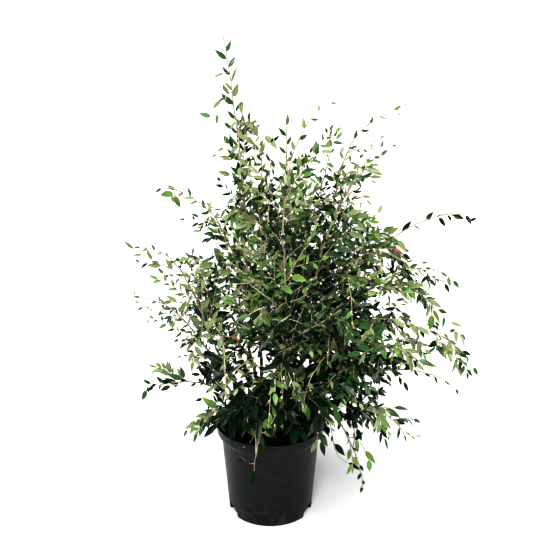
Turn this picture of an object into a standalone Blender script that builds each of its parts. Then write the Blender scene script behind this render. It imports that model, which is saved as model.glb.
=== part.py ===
"""A camellia shrub growing in a round nursery pot, as separate closed solids.

Metres, +Z up. The origin is the middle of the pot's flat underside, +X is the
side that the long arching shoots lean to, and -Y is the front.

Stems rise from the compost, boughs leave the stems, and each mass of foliage
goes on from the end of a stem or a bough, or leaves a stem directly. A mass is
one solid: a shoot, the twigs that leave it, and the leaves on both.
"""
import itertools
import math
import random
from typing import NamedTuple

import bmesh
import bpy
import numpy as np
from mathutils.bvhtree import BVHTree

GAP = 0.0003                    # clearance between neighbouring solids

# Pot, turned about Z
POT_HEIGHT = 0.250
POT_SEGMENTS = 36
RIM_RADIUS = 0.140              # outside of the rolled lip
RIM_BAND = 0.026                # height of the wider band under the lip
SHOULDER = 0.010                # height over which the wall widens into that band
LIP = 0.003                     # how far the lip stands out from the band
LIP_DROP = 0.008                # from the top of the lip to the band's edge
EDGE = 0.002                    # bevel of the pot's outer edges
FOOT_RADIUS = 0.1064            # outside, at the underside
WALL_SLOPE = 0.084              # outward lean of the wall, per unit of height
WALL = 0.003
FLOOR = 0.005
FOOT_HEIGHT = 0.030             # the thick foot that the drainage notches cut
FOOT_WALL = 0.014
FOOT_STEP = 0.004               # height over which the wall thickens into the foot
NOTCH_HEIGHT = 0.025
NOTCH_DEPTH = 0.009
NOTCH_WIDTH = 27.0              # degrees round the pot
NOTCH_STEPS = 4
NOTCH_AZIMUTHS = (24.0, 156.0, 204.0, 336.0)
CUT_MARGIN = 0.010              # how far a cutter stands out of what it cuts
SMOOTH_ANGLE = 40.0             # degrees; edges sharper than this stay sharp
MERGE = 0.00001                 # distance at which the points of a turned solid merge

# Compost
SOIL_TOP = 0.220
SOIL_LEVEL = 0.085              # radius of its level middle
SOIL_DROP = 0.006               # how far it falls from there to the wall
SOIL_GAP = 0.00045              # between the compost and the wall

# Limbs
PULL = 0.36                     # how far a curve follows its end directions, per unit of its length
STEM_SIDES = 6
BOUGH_SIDES = 5
SHOOT_SIDES = 3
TWIG_SIDES = 3
STEM_RINGS = (0.0, 0.04, 0.12, 0.30, 1.0)
STEM_RISE = 88.0                # degrees above level at a stem's foot
STEM_BEND = 6.0                 # degrees that its top leans out past the line from foot to top
BOUGH_RINGS = 4
SHOOT_SEGMENT = 0.060           # a shoot bends this often, with a leaf between bends
STEM_TIP_RADIUS = 0.0030
FLARE = 0.6                     # extra radius at the root, as a share
FLARE_HEIGHT = 0.018
BOUGH_FOOT_RADIUS = 0.0036
SHOOT_TIP_RADIUS = 0.0016
LIMB_TAPER = 0.8                # below 1 a limb thins sooner near its foot

# Twigs
TWIG_SPACING = 0.080            # along a shoot
TWIG_PLACES = (0.06, 0.86)      # the stretch of a shoot that bears them, as shares
TWIG_START = 0.35               # of the spacing, where the first one is
TWIG_FOOT_RADIUS = 0.0022
TWIG_TIP_RADIUS = 0.0016
TWIG_LEAVES = (0.30, 0.62, 0.85)    # where a twig's leaves are, as shares of its length
TWIG_CUTS = (1.0, 0.75, 0.5)        # the lengths that it tries, to stay in its space
TWIG_BENDS = (0.0, 0.46, 1.0)       # where it bends, clear of their roots
TWIG_PROBES = (0.2, 0.4, 0.6, 0.8, 1.0)     # where it is tested
TWIG_LONGEST = 1.15             # of a mass's twig length, at the foot of its shoot
TWIG_SHRINK = 0.60              # less of it by the shoot's tip
TWIG_VARIETY = (0.85, 1.15)
TWIG_SPREAD = (42.0, 62.0)      # degrees between a twig and its shoot
TWIG_ROLL = 35.0                # degrees that it leaves above or below level, at most
TWIG_SAG = (0.1, 0.45)          # how much its tip turns down
TWIG_FOLLOW = 0.3               # how much its tip turns along the shoot
TWIG_SPIRAL = 137.5             # degrees from one twig to the next round an upright shoot

# Leaves
LEAF_LENGTH = 0.078             # deep in the crown
LEAF_SHRINK = 0.45              # how much shorter leaves are at the tip of a shoot
LEAF_SIZES = (1.0, 0.7)         # of its length, the sizes a leaf tries to fit its space
LEAF_VARIETY = (0.88, 1.1)
LEAF_PLACE = 0.7                # of a shoot's segment, where its leaf is
LEAF_SHAPE = 0.46               # width as a share of length
LEAF_THICKNESS = 0.0022
LEAF_WIDEST = 0.45              # where it is widest, as a share of length
LEAF_ROOT = 0.0004              # how far past its twig's middle a leaf is rooted
LEAF_SPREAD = (40.0, 64.0)      # degrees between a leaf and its twig
LEAF_DROOP = (5.0, 60.0)        # degrees that a leaf hangs below that
LEAF_OUTLOOK = 1.3              # how much more its upper side looks outwards than up
LEAF_ROLL = 40.0                # degrees that it is turned about its own length, at most
LEAF_SINK = 0.006               # how deep the last leaf of a twig sits in its end
LEAF_CLEAR = 0.009              # past this much of its foot, a leaf stays clear of its own mass

STEEP = 0.75                    # sine of the slope past which a twig counts as upright

# Clearances that keep a mass to its own space
SPACE_MARGIN = 0.0015
SPACE_POINTS = 15               # along each shoot
SKIN = 0.0012


class Stem(NamedTuple):
    """An upright stem: its foot and its top, each by azimuth, reach and height."""
    name: str
    foot_azimuth: float
    foot_reach: float
    azimuth: float
    reach: float
    height: float
    radius: float


class Mass(NamedTuple):
    """A mass of foliage, and the bough that carries it where its share isn't 0."""
    name: str
    stem: str
    fork: float                 # how far up its stem it leaves; 1 goes on from the top
    azimuth: float              # of its outermost leaf about the pot's axis, degrees
    reach: float                # from that axis to its outermost leaf
    height: float               # of its outermost leaf
    rise: float                 # degrees above level where it leaves
    fall: float                 # degrees above level at its tip; below 0 it hangs
    bough: float                # share of its length that is bare bough
    twig: float                 # length of its longest twigs


STEMS = (
    Stem("left", 180, 0.022, 180, 0.030, 0.52, 0.0062),
    Stem("centre", 330, 0.012, 330, 0.040, 0.48, 0.0058),
    Stem("front", 275, 0.036, 284, 0.140, 0.46, 0.0056),
    Stem("back", 70, 0.030, 60, 0.090, 0.50, 0.0056),
    Stem("right", 0, 0.036, 5, 0.110, 0.50, 0.0060),
    Stem("far_left", 195, 0.045, 182, 0.120, 0.42, 0.0052),
    Stem("back_left", 125, 0.036, 128, 0.110, 0.46, 0.0054),
    Stem("back_right", 35, 0.045, 45, 0.150, 0.42, 0.0052),
    Stem("low_left", 235, 0.045, 228, 0.130, 0.36, 0.0048),
    Stem("low_right", 315, 0.045, 322, 0.140, 0.37, 0.0048),
)

MASSES = (
    # on from the tops of the stems
    Mass("top_leader", "left", 1, 180, 0.117, 1.215, 80, 80, 0, 0.085),
    Mass("top_middle", "centre", 1, 308, 0.063, 1.055, 85, 84, 0, 0.110),
    Mass("top_arch", "front", 1, 343, 0.169, 1.090, 80, 22, 0, 0.105),
    Mass("top_back", "back", 1, 37, 0.201, 0.990, 75, 78, 0, 0.115),
    Mass("top_right", "right", 1, 5, 0.321, 1.050, 60, 18, 0, 0.105),
    Mass("left_middle", "far_left", 1, 172, 0.353, 0.696, 50, -4, 0, 0.110),
    Mass("upper_back_left", "back_left", 1, 112, 0.200, 0.870, 60, 60, 0, 0.130),
    Mass("upper_back_right", "back_right", 1, 45, 0.360, 0.760, 55, 15, 0, 0.130),
    Mass("front_left", "low_left", 1, 238, 0.240, 0.620, 60, 45, 0, 0.130),
    Mass("front_right", "low_right", 1, 312, 0.270, 0.640, 55, 30, 0, 0.130),
    # the right side from the top down
    Mass("right_high", "front", 0.90, 348, 0.285, 0.975, 60, 35, 0, 0.110),
    Mass("right_level", "right", 0.92, 6, 0.510, 0.778, 62, -4, 0.15, 0.095),
    Mass("right_upper", "right", 0.80, 345, 0.330, 0.740, 60, 5, 0, 0.120),
    Mass("right_arch", "right", 0.68, 355, 0.465, 0.619, 55, -42, 0.12, 0.120),
    Mass("right_long", "centre", 0.80, 347, 0.516, 0.420, 60, -60, 0.12, 0.120),
    Mass("right_middle", "low_right", 0.88, 328, 0.420, 0.500, 48, -30, 0, 0.125),
    Mass("right_low", "low_right", 0.74, 341, 0.494, 0.392, 42, -38, 0.15, 0.110),
    Mass("right_lowest", "low_right", 0.50, 336, 0.371, 0.254, 42, -62, 0.20, 0.095),
    Mass("right_hanging", "right", 0.35, 340, 0.250, 0.071, 45, -86, 0.25, 0.070),
    # the left side from the top down
    Mass("upper_left", "left", 0.90, 176, 0.292, 0.857, 72, 2, 0.12, 0.105),
    Mass("left_low_arch", "far_left", 0.70, 193, 0.346, 0.620, 45, 15, 0, 0.110),
    Mass("left_low", "low_left", 0.80, 180, 0.321, 0.326, 42, -30, 0.15, 0.105),
    Mass("left_lowest", "low_left", 0.45, 208, 0.255, 0.254, 38, -50, 0.20, 0.080),
    # the front
    Mass("front_top", "left", 0.72, 255, 0.070, 1.010, 50, 82, 0, 0.105),
    Mass("front_bright", "front", 0.80, 272, 0.250, 0.800, 60, 70, 0, 0.110),
    Mass("front_low", "front", 0.60, 292, 0.260, 0.370, 50, -50, 0, 0.110),
    Mass("front_hanging", "front", 0.42, 260, 0.224, 0.191, 40, -82, 0.20, 0.060),
    Mass("front_low_left", "low_left", 0.66, 258, 0.240, 0.330, 50, -40, 0, 0.100),
    # low in the middle, close round the stems
    Mass("low_middle", "left", 0.40, 262, 0.200, 0.440, 50, 10, 0, 0.110),
    Mass("low_middle_right", "right", 0.45, 340, 0.250, 0.440, 45, 0, 0, 0.110),
    # the back
    Mass("back_middle", "back", 0.75, 88, 0.340, 0.660, 45, -15, 0, 0.130),
    Mass("back_low", "back", 0.45, 75, 0.300, 0.330, 45, -45, 0.15, 0.120),
    Mass("back_left_low", "back_left", 0.65, 140, 0.340, 0.460, 48, -30, 0, 0.125),
    Mass("back_right_low", "back_right", 0.75, 30, 0.380, 0.420, 45, -40, 0, 0.120),
)


# --------------------------------------------------------------- points and paths

def polar(azimuth, reach, height):
    angle = math.radians(azimuth)
    return np.array([reach * math.cos(angle), reach * math.sin(angle), height])


def unit(vector):
    return vector / np.linalg.norm(vector)


def heading(azimuth, pitch):
    """The direction at an azimuth, so many degrees above level."""
    return unit(polar(azimuth, math.cos(math.radians(pitch)), math.sin(math.radians(pitch))))


def azimuth_of(vector):
    return math.degrees(math.atan2(vector[1], vector[0]))


class Path:
    """A cubic curve from one point and direction to another."""

    def __init__(self, start, start_direction, end, end_direction):
        reach = np.linalg.norm(end - start) * PULL
        self.points = (start, start + reach * start_direction, end - reach * end_direction, end)

    def at(self, share):
        t = np.atleast_1d(share)[:, None]
        p = self.points
        s = 1 - t
        return s ** 3 * p[0] + 3 * s * s * t * p[1] + 3 * s * t * t * p[2] + t ** 3 * p[3]

    def along(self, share):
        t = np.atleast_1d(share)[:, None]
        p = self.points
        s = 1 - t
        slope = s * s * (p[1] - p[0]) + 2 * s * t * (p[2] - p[1]) + t * t * (p[3] - p[2])
        return slope / np.linalg.norm(slope, axis=1)[:, None]

    def length(self, start=0.0, end=1.0):
        points = self.at(np.linspace(start, end, 33))
        return float(np.linalg.norm(np.diff(points, axis=0), axis=1).sum())


def side_frame(direction):
    """A level side vector and the upward one, both square to a direction."""
    side = np.cross(direction, (0.0, 0.0, 1.0))
    if np.linalg.norm(side) < 0.05:
        side = np.array([1.0, 0.0, 0.0])
    side = unit(side)
    return side, np.cross(side, direction)


# --------------------------------------------------------------- closed shells

def tube(points, directions, radii, sides, foot_normal=None):
    """A tapering tube with flat ends; its foot may be cut square to another direction."""
    directions = np.array(directions)
    if foot_normal is not None:
        directions[0] = foot_normal
    side, _ = side_frame(directions[0])
    angles = math.pi / 2 + np.arange(sides) * (2 * math.pi / sides)
    verts = []
    for point, direction, radius in zip(points, directions, radii):
        side = unit(side - direction * np.dot(side, direction))
        up = np.cross(direction, side)
        ring = np.outer(np.cos(angles), side) + np.outer(np.sin(angles), up)
        verts.append(point + radius * ring)
    faces = [tuple(reversed(range(sides)))]
    for ring in range(len(points) - 1):
        low, high = ring * sides, (ring + 1) * sides
        for k in range(sides):
            m = (k + 1) % sides
            faces.append((low + k, low + m, high + m, high + k))
    top = (len(points) - 1) * sides
    faces.append(tuple(range(top, top + sides)))
    return np.vstack(verts), faces


def leaf_blade(root, direction, up, length, width, thickness):
    """A closed blade of six faces: a root, two edges and a ridge at its widest, and a tip."""
    side = unit(np.cross(direction, up))
    up = np.cross(side, direction)
    middle = root + direction * (LEAF_WIDEST * length)
    verts = np.array([
        root,
        middle + side * width / 2,
        middle + up * thickness,
        middle - side * width / 2,
        root + direction * length,
    ])
    faces = [(0, 1, 2), (0, 2, 3), (0, 3, 1), (4, 2, 1), (4, 3, 2), (4, 1, 3)]
    return verts, faces


def make_mesh(name, verts, faces):
    """A mesh whose faces all point outwards."""
    mesh = bpy.data.meshes.new(name)
    mesh.from_pydata([tuple(v) for v in verts], [], faces)
    shell = bmesh.new()
    shell.from_mesh(mesh)
    bmesh.ops.recalc_face_normals(shell, faces=shell.faces)
    shell.to_mesh(mesh)
    shell.free()
    return mesh


# --------------------------------------------------------------- objects

def material(name, colour, roughness):
    surface = bpy.data.materials.new(name)
    surface.use_nodes = True
    shader = surface.node_tree.nodes["Principled BSDF"]
    shader.inputs["Base Color"].default_value = (*colour, 1.0)
    shader.inputs["Roughness"].default_value = roughness
    shader.inputs["Metallic"].default_value = 0.0
    surface.diffuse_color = (*colour, 1.0)
    return surface


def add_object(name, mesh, surface, smooth=False):
    mesh.materials.clear()
    mesh.materials.append(surface)
    if smooth:
        mesh.shade_smooth()
        mesh.set_sharp_from_angle(angle=math.radians(SMOOTH_ANGLE))
    piece = bpy.data.objects.new(name, mesh)
    bpy.context.scene.collection.objects.link(piece)
    return piece


def apply_modifiers(piece):
    """Keep the evaluated mesh and drop the modifiers."""
    graph = bpy.context.evaluated_depsgraph_get()
    surface = piece.data.materials[0]
    piece.data = bpy.data.meshes.new_from_object(piece.evaluated_get(graph))
    piece.modifiers.clear()
    piece.data.materials.clear()
    piece.data.materials.append(surface)


# --------------------------------------------------------------- pot and soil

def wall_radius(height):
    """Outside radius of the pot's wall."""
    return FOOT_RADIUS + WALL_SLOPE * height


def turned(name, profile, segments=POT_SEGMENTS):
    """A solid turned about Z from a profile that starts and ends on the axis."""
    shell = bmesh.new()
    ring = [shell.verts.new((radius, 0.0, height)) for radius, height in profile]
    edges = [shell.edges.new(pair) for pair in zip(ring, ring[1:])]
    bmesh.ops.spin(shell, geom=ring + edges, axis=(0, 0, 1), cent=(0, 0, 0),
                   angle=2 * math.pi, steps=segments)
    bmesh.ops.remove_doubles(shell, verts=shell.verts, dist=MERGE)
    bmesh.ops.recalc_face_normals(shell, faces=shell.faces)
    mesh = bpy.data.meshes.new(name)
    shell.to_mesh(mesh)
    shell.free()
    return mesh


def pot_profile():
    """Outside from the underside up, over the lip, and down the inside."""
    band_foot = POT_HEIGHT - RIM_BAND
    wall_top = band_foot - SHOULDER
    band = RIM_RADIUS - LIP
    inner_top = wall_top + WALL
    return (
        (0.0, 0.0),
        (FOOT_RADIUS - EDGE, 0.0),
        (FOOT_RADIUS, EDGE),
        (wall_radius(wall_top), wall_top),
        (band - EDGE, band_foot),
        (band, POT_HEIGHT - LIP_DROP),
        (RIM_RADIUS, POT_HEIGHT - LIP),
        (RIM_RADIUS - EDGE, POT_HEIGHT),
        (band - WALL, POT_HEIGHT - EDGE / 2),
        (wall_radius(inner_top) - WALL, inner_top),
        (wall_radius(FOOT_HEIGHT) - WALL, FOOT_HEIGHT),
        (FOOT_RADIUS - FOOT_WALL, FOOT_HEIGHT - FOOT_STEP),
        (FOOT_RADIUS - FOOT_WALL, FLOOR),
        (0.0, FLOOR),
    )


def notch_cutter():
    """Four wedges, standing out through the foot of the wall."""
    inner = FOOT_RADIUS - NOTCH_DEPTH
    outer = wall_radius(NOTCH_HEIGHT) + CUT_MARGIN
    verts = []
    faces = []
    n = NOTCH_STEPS + 1
    for azimuth in NOTCH_AZIMUTHS:
        first = len(verts)
        for height in (-CUT_MARGIN, NOTCH_HEIGHT):
            for radius in (inner, outer):
                for k in range(n):
                    turn = NOTCH_WIDTH * (k / NOTCH_STEPS - 0.5)
                    verts.append(polar(azimuth + turn, radius, height))
        for k in range(NOTCH_STEPS):
            low_in, low_out = first + k, first + n + k
            top_in, top_out = first + 2 * n + k, first + 3 * n + k
            faces.append((low_in, low_in + 1, low_out + 1, low_out))
            faces.append((top_in, top_out, top_out + 1, top_in + 1))
            faces.append((low_in, top_in, top_in + 1, low_in + 1))
            faces.append((low_out, low_out + 1, top_out + 1, top_out))
        for k in (0, NOTCH_STEPS):
            faces.append((first + k, first + n + k, first + 3 * n + k, first + 2 * n + k))
    return make_mesh("notches", verts, faces)


def build_pot(surface):
    pot = add_object("pot", turned("pot", pot_profile()), surface)
    cutter = bpy.data.objects.new("notch_cutter", notch_cutter())
    bpy.context.scene.collection.objects.link(cutter)
    cut = pot.modifiers.new("notches", "BOOLEAN")
    cut.operation = "DIFFERENCE"
    cut.object = cutter
    cut.solver = "EXACT"
    apply_modifiers(pot)
    bpy.data.objects.remove(cutter)
    pot.data.shade_smooth()
    pot.data.set_sharp_from_angle(angle=math.radians(SMOOTH_ANGLE))
    return pot


def build_soil(surface):
    """The compost fills the pot, clear of its wall all round."""
    edge = SOIL_TOP - SOIL_DROP
    profile = (
        (0.0, FLOOR + GAP),
        (FOOT_RADIUS - FOOT_WALL - SOIL_GAP, FLOOR + GAP),
        (FOOT_RADIUS - FOOT_WALL - SOIL_GAP, FOOT_HEIGHT - FOOT_STEP + GAP),
        (wall_radius(FOOT_HEIGHT) - WALL - SOIL_GAP, FOOT_HEIGHT + GAP),
        (wall_radius(edge) - WALL - SOIL_GAP, edge),
        (SOIL_LEVEL, SOIL_TOP),
        (0.0, SOIL_TOP),
    )
    return add_object("soil", turned("soil", profile), surface, smooth=True)


# --------------------------------------------------------------- stems and boughs

def stem_path(stem):
    foot = polar(stem.foot_azimuth, stem.foot_reach, SOIL_TOP + GAP)
    top = polar(stem.azimuth, stem.reach, stem.height)
    lean = azimuth_of(top - foot)
    tilt = math.degrees(math.atan2(top[2] - foot[2], np.hypot(*(top - foot)[:2])))
    return Path(foot, heading(lean, STEM_RISE), top, heading(lean, tilt - STEM_BEND))


def stem_radius(stem, share):
    """Tapers evenly to the tip, with a flare over the first few centimetres."""
    share = np.atleast_1d(share)
    length = stem_path(stem).length()
    flare = 1 + FLARE * np.exp(-share * length / FLARE_HEIGHT)
    return (stem.radius + (STEM_TIP_RADIUS - stem.radius) * share) * flare


def build_stem(stem):
    """One tapering stem, with a ring wherever something leaves it."""
    path = stem_path(stem)
    forks = [mass.fork for mass in MASSES if mass.stem == stem.name]
    shares = np.unique([*STEM_RINGS, *forks])
    upright = np.array([0.0, 0.0, 1.0])
    return tube(path.at(shares), path.along(shares), stem_radius(stem, shares), STEM_SIDES, upright)


def mass_path(mass):
    """The curve of a mass with its bough, and the direction its foot is cut square to."""
    stem = next(s for s in STEMS if s.name == mass.stem)
    trunk = stem_path(stem)
    point = trunk.at(mass.fork)[0]
    grain = trunk.along(mass.fork)[0]
    tip = polar(mass.azimuth, mass.reach, mass.height)
    lean = azimuth_of(tip - point)
    tip = tip - heading(lean, mass.fall) * (leaf_length(1.0) - LEAF_SINK)
    if mass.fork >= 1:
        return Path(point + grain * GAP, grain, tip, heading(lean, mass.fall)), grain
    start = heading(lean, mass.rise)
    outward = unit(start - grain * np.dot(start, grain))
    foot = point + outward * (stem_radius(stem, mass.fork)[0] + GAP)
    return Path(foot, start, tip, heading(lean, mass.fall)), outward


def leaf_length(outer):
    """The length of a leaf that is so far out along its shoot, from 0 to 1."""
    return LEAF_LENGTH * (1 - LEAF_SHRINK * outer)


def foot_radius(mass):
    return STEM_TIP_RADIUS if mass.fork >= 1 else BOUGH_FOOT_RADIUS


def limb_radius(mass, share):
    """One even taper from a bough's foot to its shoot's tip."""
    taper = np.atleast_1d(share) ** LIMB_TAPER
    return foot_radius(mass) + (SHOOT_TIP_RADIUS - foot_radius(mass)) * taper


def build_bough(mass):
    path, outward = mass_path(mass)
    shares = np.linspace(0.0, mass.bough, BOUGH_RINGS)
    return tube(path.at(shares), path.along(shares), limb_radius(mass, shares), BOUGH_SIDES, outward)


# --------------------------------------------------------------- foliage

def shoot_segments(mass, path):
    return max(round(path.length(mass.bough, 1.0) / SHOOT_SEGMENT), 2)


def shoot_of(mass):
    """The stem of a mass, from the end of its bough to its tip."""
    path, outward = mass_path(mass)
    shares = np.linspace(mass.bough, 1.0, shoot_segments(mass, path) + 1)
    points = path.at(shares)
    directions = path.along(shares)
    if mass.bough > 0:
        points[0] = points[0] + directions[0] * GAP
        outward = None
    return tube(points, directions, limb_radius(mass, shares), SHOOT_SIDES, outward)


def twig_paths(mass, path, k, count, rng):
    """Twig k of a mass at the lengths it may have, longest first.

    Twigs leave on alternate sides, are shorter towards the shoot's tip, and sag.
    """
    along = (k + TWIG_START) / count
    first, last = TWIG_PLACES
    share = mass.bough + (1 - mass.bough) * (first + (last - first) * along)
    foot = path.at(share)[0]
    grain = path.along(share)[0]
    side, up = side_frame(grain)
    steep = abs(grain[2]) > STEEP
    roll = TWIG_SPIRAL * k if steep else 180.0 * k + rng.uniform(-TWIG_ROLL, TWIG_ROLL)
    roll = math.radians(roll)
    spread = math.radians(rng.uniform(*TWIG_SPREAD))
    outward = math.cos(roll) * side + math.sin(roll) * up
    start = unit(math.cos(spread) * grain + math.sin(spread) * outward)
    length = mass.twig * (TWIG_LONGEST - TWIG_SHRINK * along) * rng.uniform(*TWIG_VARIETY)
    sag = rng.uniform(*TWIG_SAG)
    end_direction = unit(start + grain * TWIG_FOLLOW - np.array([0.0, 0.0, sag]))
    aim = unit(start + 0.5 * end_direction)
    return [Path(foot, start, foot + aim * length * cut, end_direction) for cut in TWIG_CUTS]


def sprout(axis, share, turn, rng):
    """Root, direction and upper side of a leaf that leaves an axis at a turn about it."""
    grain = axis.along(share)[0]
    side, up = side_frame(grain)
    angle = math.radians(turn)
    outward = math.cos(angle) * side + math.sin(angle) * up
    spread = math.radians(rng.uniform(*LEAF_SPREAD))
    direction = math.cos(spread) * grain + math.sin(spread) * outward
    droop = math.radians(rng.uniform(*LEAF_DROOP))
    direction = unit(direction - np.array([0.0, 0.0, math.sin(droop)]))
    point = axis.at(share)[0]
    face = unit(np.array([point[0], point[1], 0.0])) * LEAF_OUTLOOK + np.array([0.0, 0.0, 1.0])
    face = unit(face - direction * np.dot(face, direction))
    roll = math.radians(rng.uniform(-LEAF_ROLL, LEAF_ROLL))
    face = math.cos(roll) * face + math.sin(roll) * np.cross(direction, face)
    return point - direction * LEAF_ROOT, direction, face


def leaf_turns(axis, share, k):
    """The turns about an axis that leaf k tries.

    Level twigs have a rank of leaves down each side, and steep ones a spiral of three.
    """
    if abs(axis.along(share)[0][2]) < STEEP:
        return (0.0, 180.0) if k % 2 else (180.0, 0.0)
    return tuple(90.0 + 120.0 * (k + step) for step in range(3))


class Spaces:
    """Tells whether a point is nearer to a mass's own shoot than to any other's."""

    def __init__(self):
        self.lines = []
        for mass in MASSES:
            path, _ = mass_path(mass)
            self.lines.append(path.at(np.linspace(mass.bough, 1.0, SPACE_POINTS)))

    def holds(self, index, points):
        own = None
        nearest = np.full(len(points), np.inf)
        for k, line in enumerate(self.lines):
            distance = np.linalg.norm(points[:, None, :] - line[None, :, :], axis=2).min(axis=1)
            if k == index:
                own = distance
            else:
                nearest = np.minimum(nearest, distance)
        return bool(np.all(own + SPACE_MARGIN < nearest))


def tree_of(shells):
    """One search tree over many shells."""
    verts = []
    faces = []
    for shell_verts, shell_faces in shells:
        first = len(verts)
        verts.extend(tuple(v) for v in shell_verts)
        faces.extend(tuple(first + k for k in face) for face in shell_faces)
    return BVHTree.FromPolygons(verts, faces)


def grow_twigs(mass, path, free, rng):
    """The twigs of a mass, each at the first of its lengths that is free."""
    count = max(round(path.length(mass.bough, 1.0) / TWIG_SPACING), 2)
    twigs = []
    for k in range(count):
        for twig in twig_paths(mass, path, k, count, rng):
            points = twig.at(TWIG_PROBES)
            radii = np.full(len(points), TWIG_FOOT_RADIUS + SKIN)
            fat = tube(points, twig.along(TWIG_PROBES), radii, TWIG_SIDES + 1)
            if free(fat, points):
                twigs.append((twig, (k + 0.5) / count))
                break
    return twigs


def twig_shell(twig):
    bends = np.array(TWIG_BENDS)
    radii = TWIG_FOOT_RADIUS + (TWIG_TIP_RADIUS - TWIG_FOOT_RADIUS) * bends
    return tube(twig.at(bends), twig.along(bends), radii, TWIG_SIDES)


def grow_mass(index, mass, spaces, obstacles):
    """The shells of one mass, leaving out what would touch something or leave its space."""
    rng = random.Random(mass.name)
    path, _ = mass_path(mass)

    def free(shell, points):
        return spaces.holds(index, points) and not tree_of([shell]).overlap(obstacles)

    twigs = grow_twigs(mass, path, free, rng)
    shells = [shoot_of(mass)] + [twig_shell(twig) for twig, _ in twigs]

    def add_leaf(root, direction, face, length):
        width = length * LEAF_SHAPE
        start = root + direction * (LEAF_ROOT + LEAF_CLEAR)
        fat_verts, faces = leaf_blade(start, direction, face, length - LEAF_CLEAR, width + SKIN * 2,
                                      LEAF_THICKNESS + SKIN * 2)
        fat = (fat_verts - face * SKIN, faces)
        if not free(fat, fat_verts[1:]) or tree_of([fat]).overlap(tree_of(shells)):
            return False
        shells.append(leaf_blade(root, direction, face, length, width, LEAF_THICKNESS))
        return True

    def add_leaves(axis, shares, outer):
        """Leaves along an axis and one at its end; outer gives how far out each one is."""
        first = rng.randrange(3)
        for k, (share, far) in enumerate(zip(shares, outer)):
            length = leaf_length(far) * rng.uniform(*LEAF_VARIETY)
            for size, turn in itertools.product(LEAF_SIZES, leaf_turns(axis, share, first + k)):
                if add_leaf(*sprout(axis, share, turn, rng), length * size):
                    break
        grain = axis.along(1.0)[0]
        _, up = side_frame(grain)
        add_leaf(axis.at(1.0)[0] - grain * LEAF_SINK, grain, up, leaf_length(outer[-1]))

    for twig, outer in twigs:
        add_leaves(twig, TWIG_LEAVES, [outer] * len(TWIG_LEAVES))
    segments = shoot_segments(mass, path)
    spots = (np.arange(segments) + LEAF_PLACE) / segments
    add_leaves(path, mass.bough + (1 - mass.bough) * spots, spots)
    return shells


def drop_scraps(mesh):
    """Keep the largest connected body of a mesh."""
    shell = bmesh.new()
    shell.from_mesh(mesh)
    left = set(shell.verts)
    bodies = []
    while left:
        body = {left.pop()}
        edge = list(body)
        while edge:
            vert = edge.pop()
            for link in vert.link_edges:
                other = link.other_vert(vert)
                if other not in body:
                    body.add(other)
                    edge.append(other)
        left -= body
        bodies.append(body)
    bodies.sort(key=len, reverse=True)
    for body in bodies[1:]:
        bmesh.ops.delete(shell, geom=list(body), context="VERTS")
    bmesh.ops.triangulate(shell, faces=shell.faces)
    shell.to_mesh(mesh)
    shell.free()


def fuse(name, shells, surface):
    """Join the shells of a mass into one body."""
    parts = bpy.data.collections.new(name + "_parts")
    bpy.context.scene.collection.children.link(parts)
    body = add_object(name, make_mesh(name, *shells[0]), surface)
    for verts, faces in shells[1:]:
        part = bpy.data.objects.new("part", make_mesh("part", verts, faces))
        parts.objects.link(part)
    join = body.modifiers.new("join", "BOOLEAN")
    join.operation = "UNION"
    join.operand_type = "COLLECTION"
    join.collection = parts
    join.solver = "EXACT"
    apply_modifiers(body)
    for part in list(parts.objects):
        bpy.data.objects.remove(part)
    bpy.data.collections.remove(parts)
    drop_scraps(body.data)
    return body


def build_foliage(limbs, surface):
    """Every mass in turn, each clear of the limbs, the other shoots and the masses before it."""
    spaces = Spaces()
    shoots = {mass.name: shoot_of(mass) for mass in MASSES}
    done = []
    for index, mass in enumerate(MASSES):
        others = [shoots[m.name] for m in MASSES if m.name != mass.name]
        obstacles = tree_of(limbs + others + done)
        shells = grow_mass(index, mass, spaces, obstacles)
        fuse("foliage_" + mass.name, shells, surface)
        done.extend(shells)


def mesh_shell(piece):
    """The verts and faces of an object that is already built."""
    mesh = piece.data
    return [tuple(v.co) for v in mesh.vertices], [tuple(p.vertices) for p in mesh.polygons]


def main():
    for piece in list(bpy.data.objects):
        bpy.data.objects.remove(piece)
    plastic = material("pot_plastic", (0.025, 0.026, 0.028), 0.42)
    compost = material("compost", (0.030, 0.020, 0.014), 0.95)
    bark = material("bark", (0.170, 0.120, 0.080), 0.75)
    leaf_green = material("leaf_green", (0.045, 0.120, 0.035), 0.38)

    pot = build_pot(plastic)
    soil = build_soil(compost)
    limbs = []
    for stem in STEMS:
        shell = build_stem(stem)
        add_object("stem_" + stem.name, make_mesh(stem.name, *shell), bark, smooth=True)
        limbs.append(shell)
    for mass in MASSES:
        if mass.bough > 0:
            shell = build_bough(mass)
            add_object("bough_" + mass.name, make_mesh(mass.name, *shell), bark, smooth=True)
            limbs.append(shell)
    build_foliage(limbs + [mesh_shell(pot), mesh_shell(soil)], leaf_green)


if __name__ == "__main__":
    main()
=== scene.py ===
"""The finished look of a camellia shrub in its round nursery pot.

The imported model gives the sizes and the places. The limbs here run along the same
curves as its stems, boughs and foliage, and each mass of foliage is grown again by
the same rule, carried on to finer twigs, single leaves and flower buds.
"""
import functools
import math
import random
from typing import NamedTuple

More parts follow.
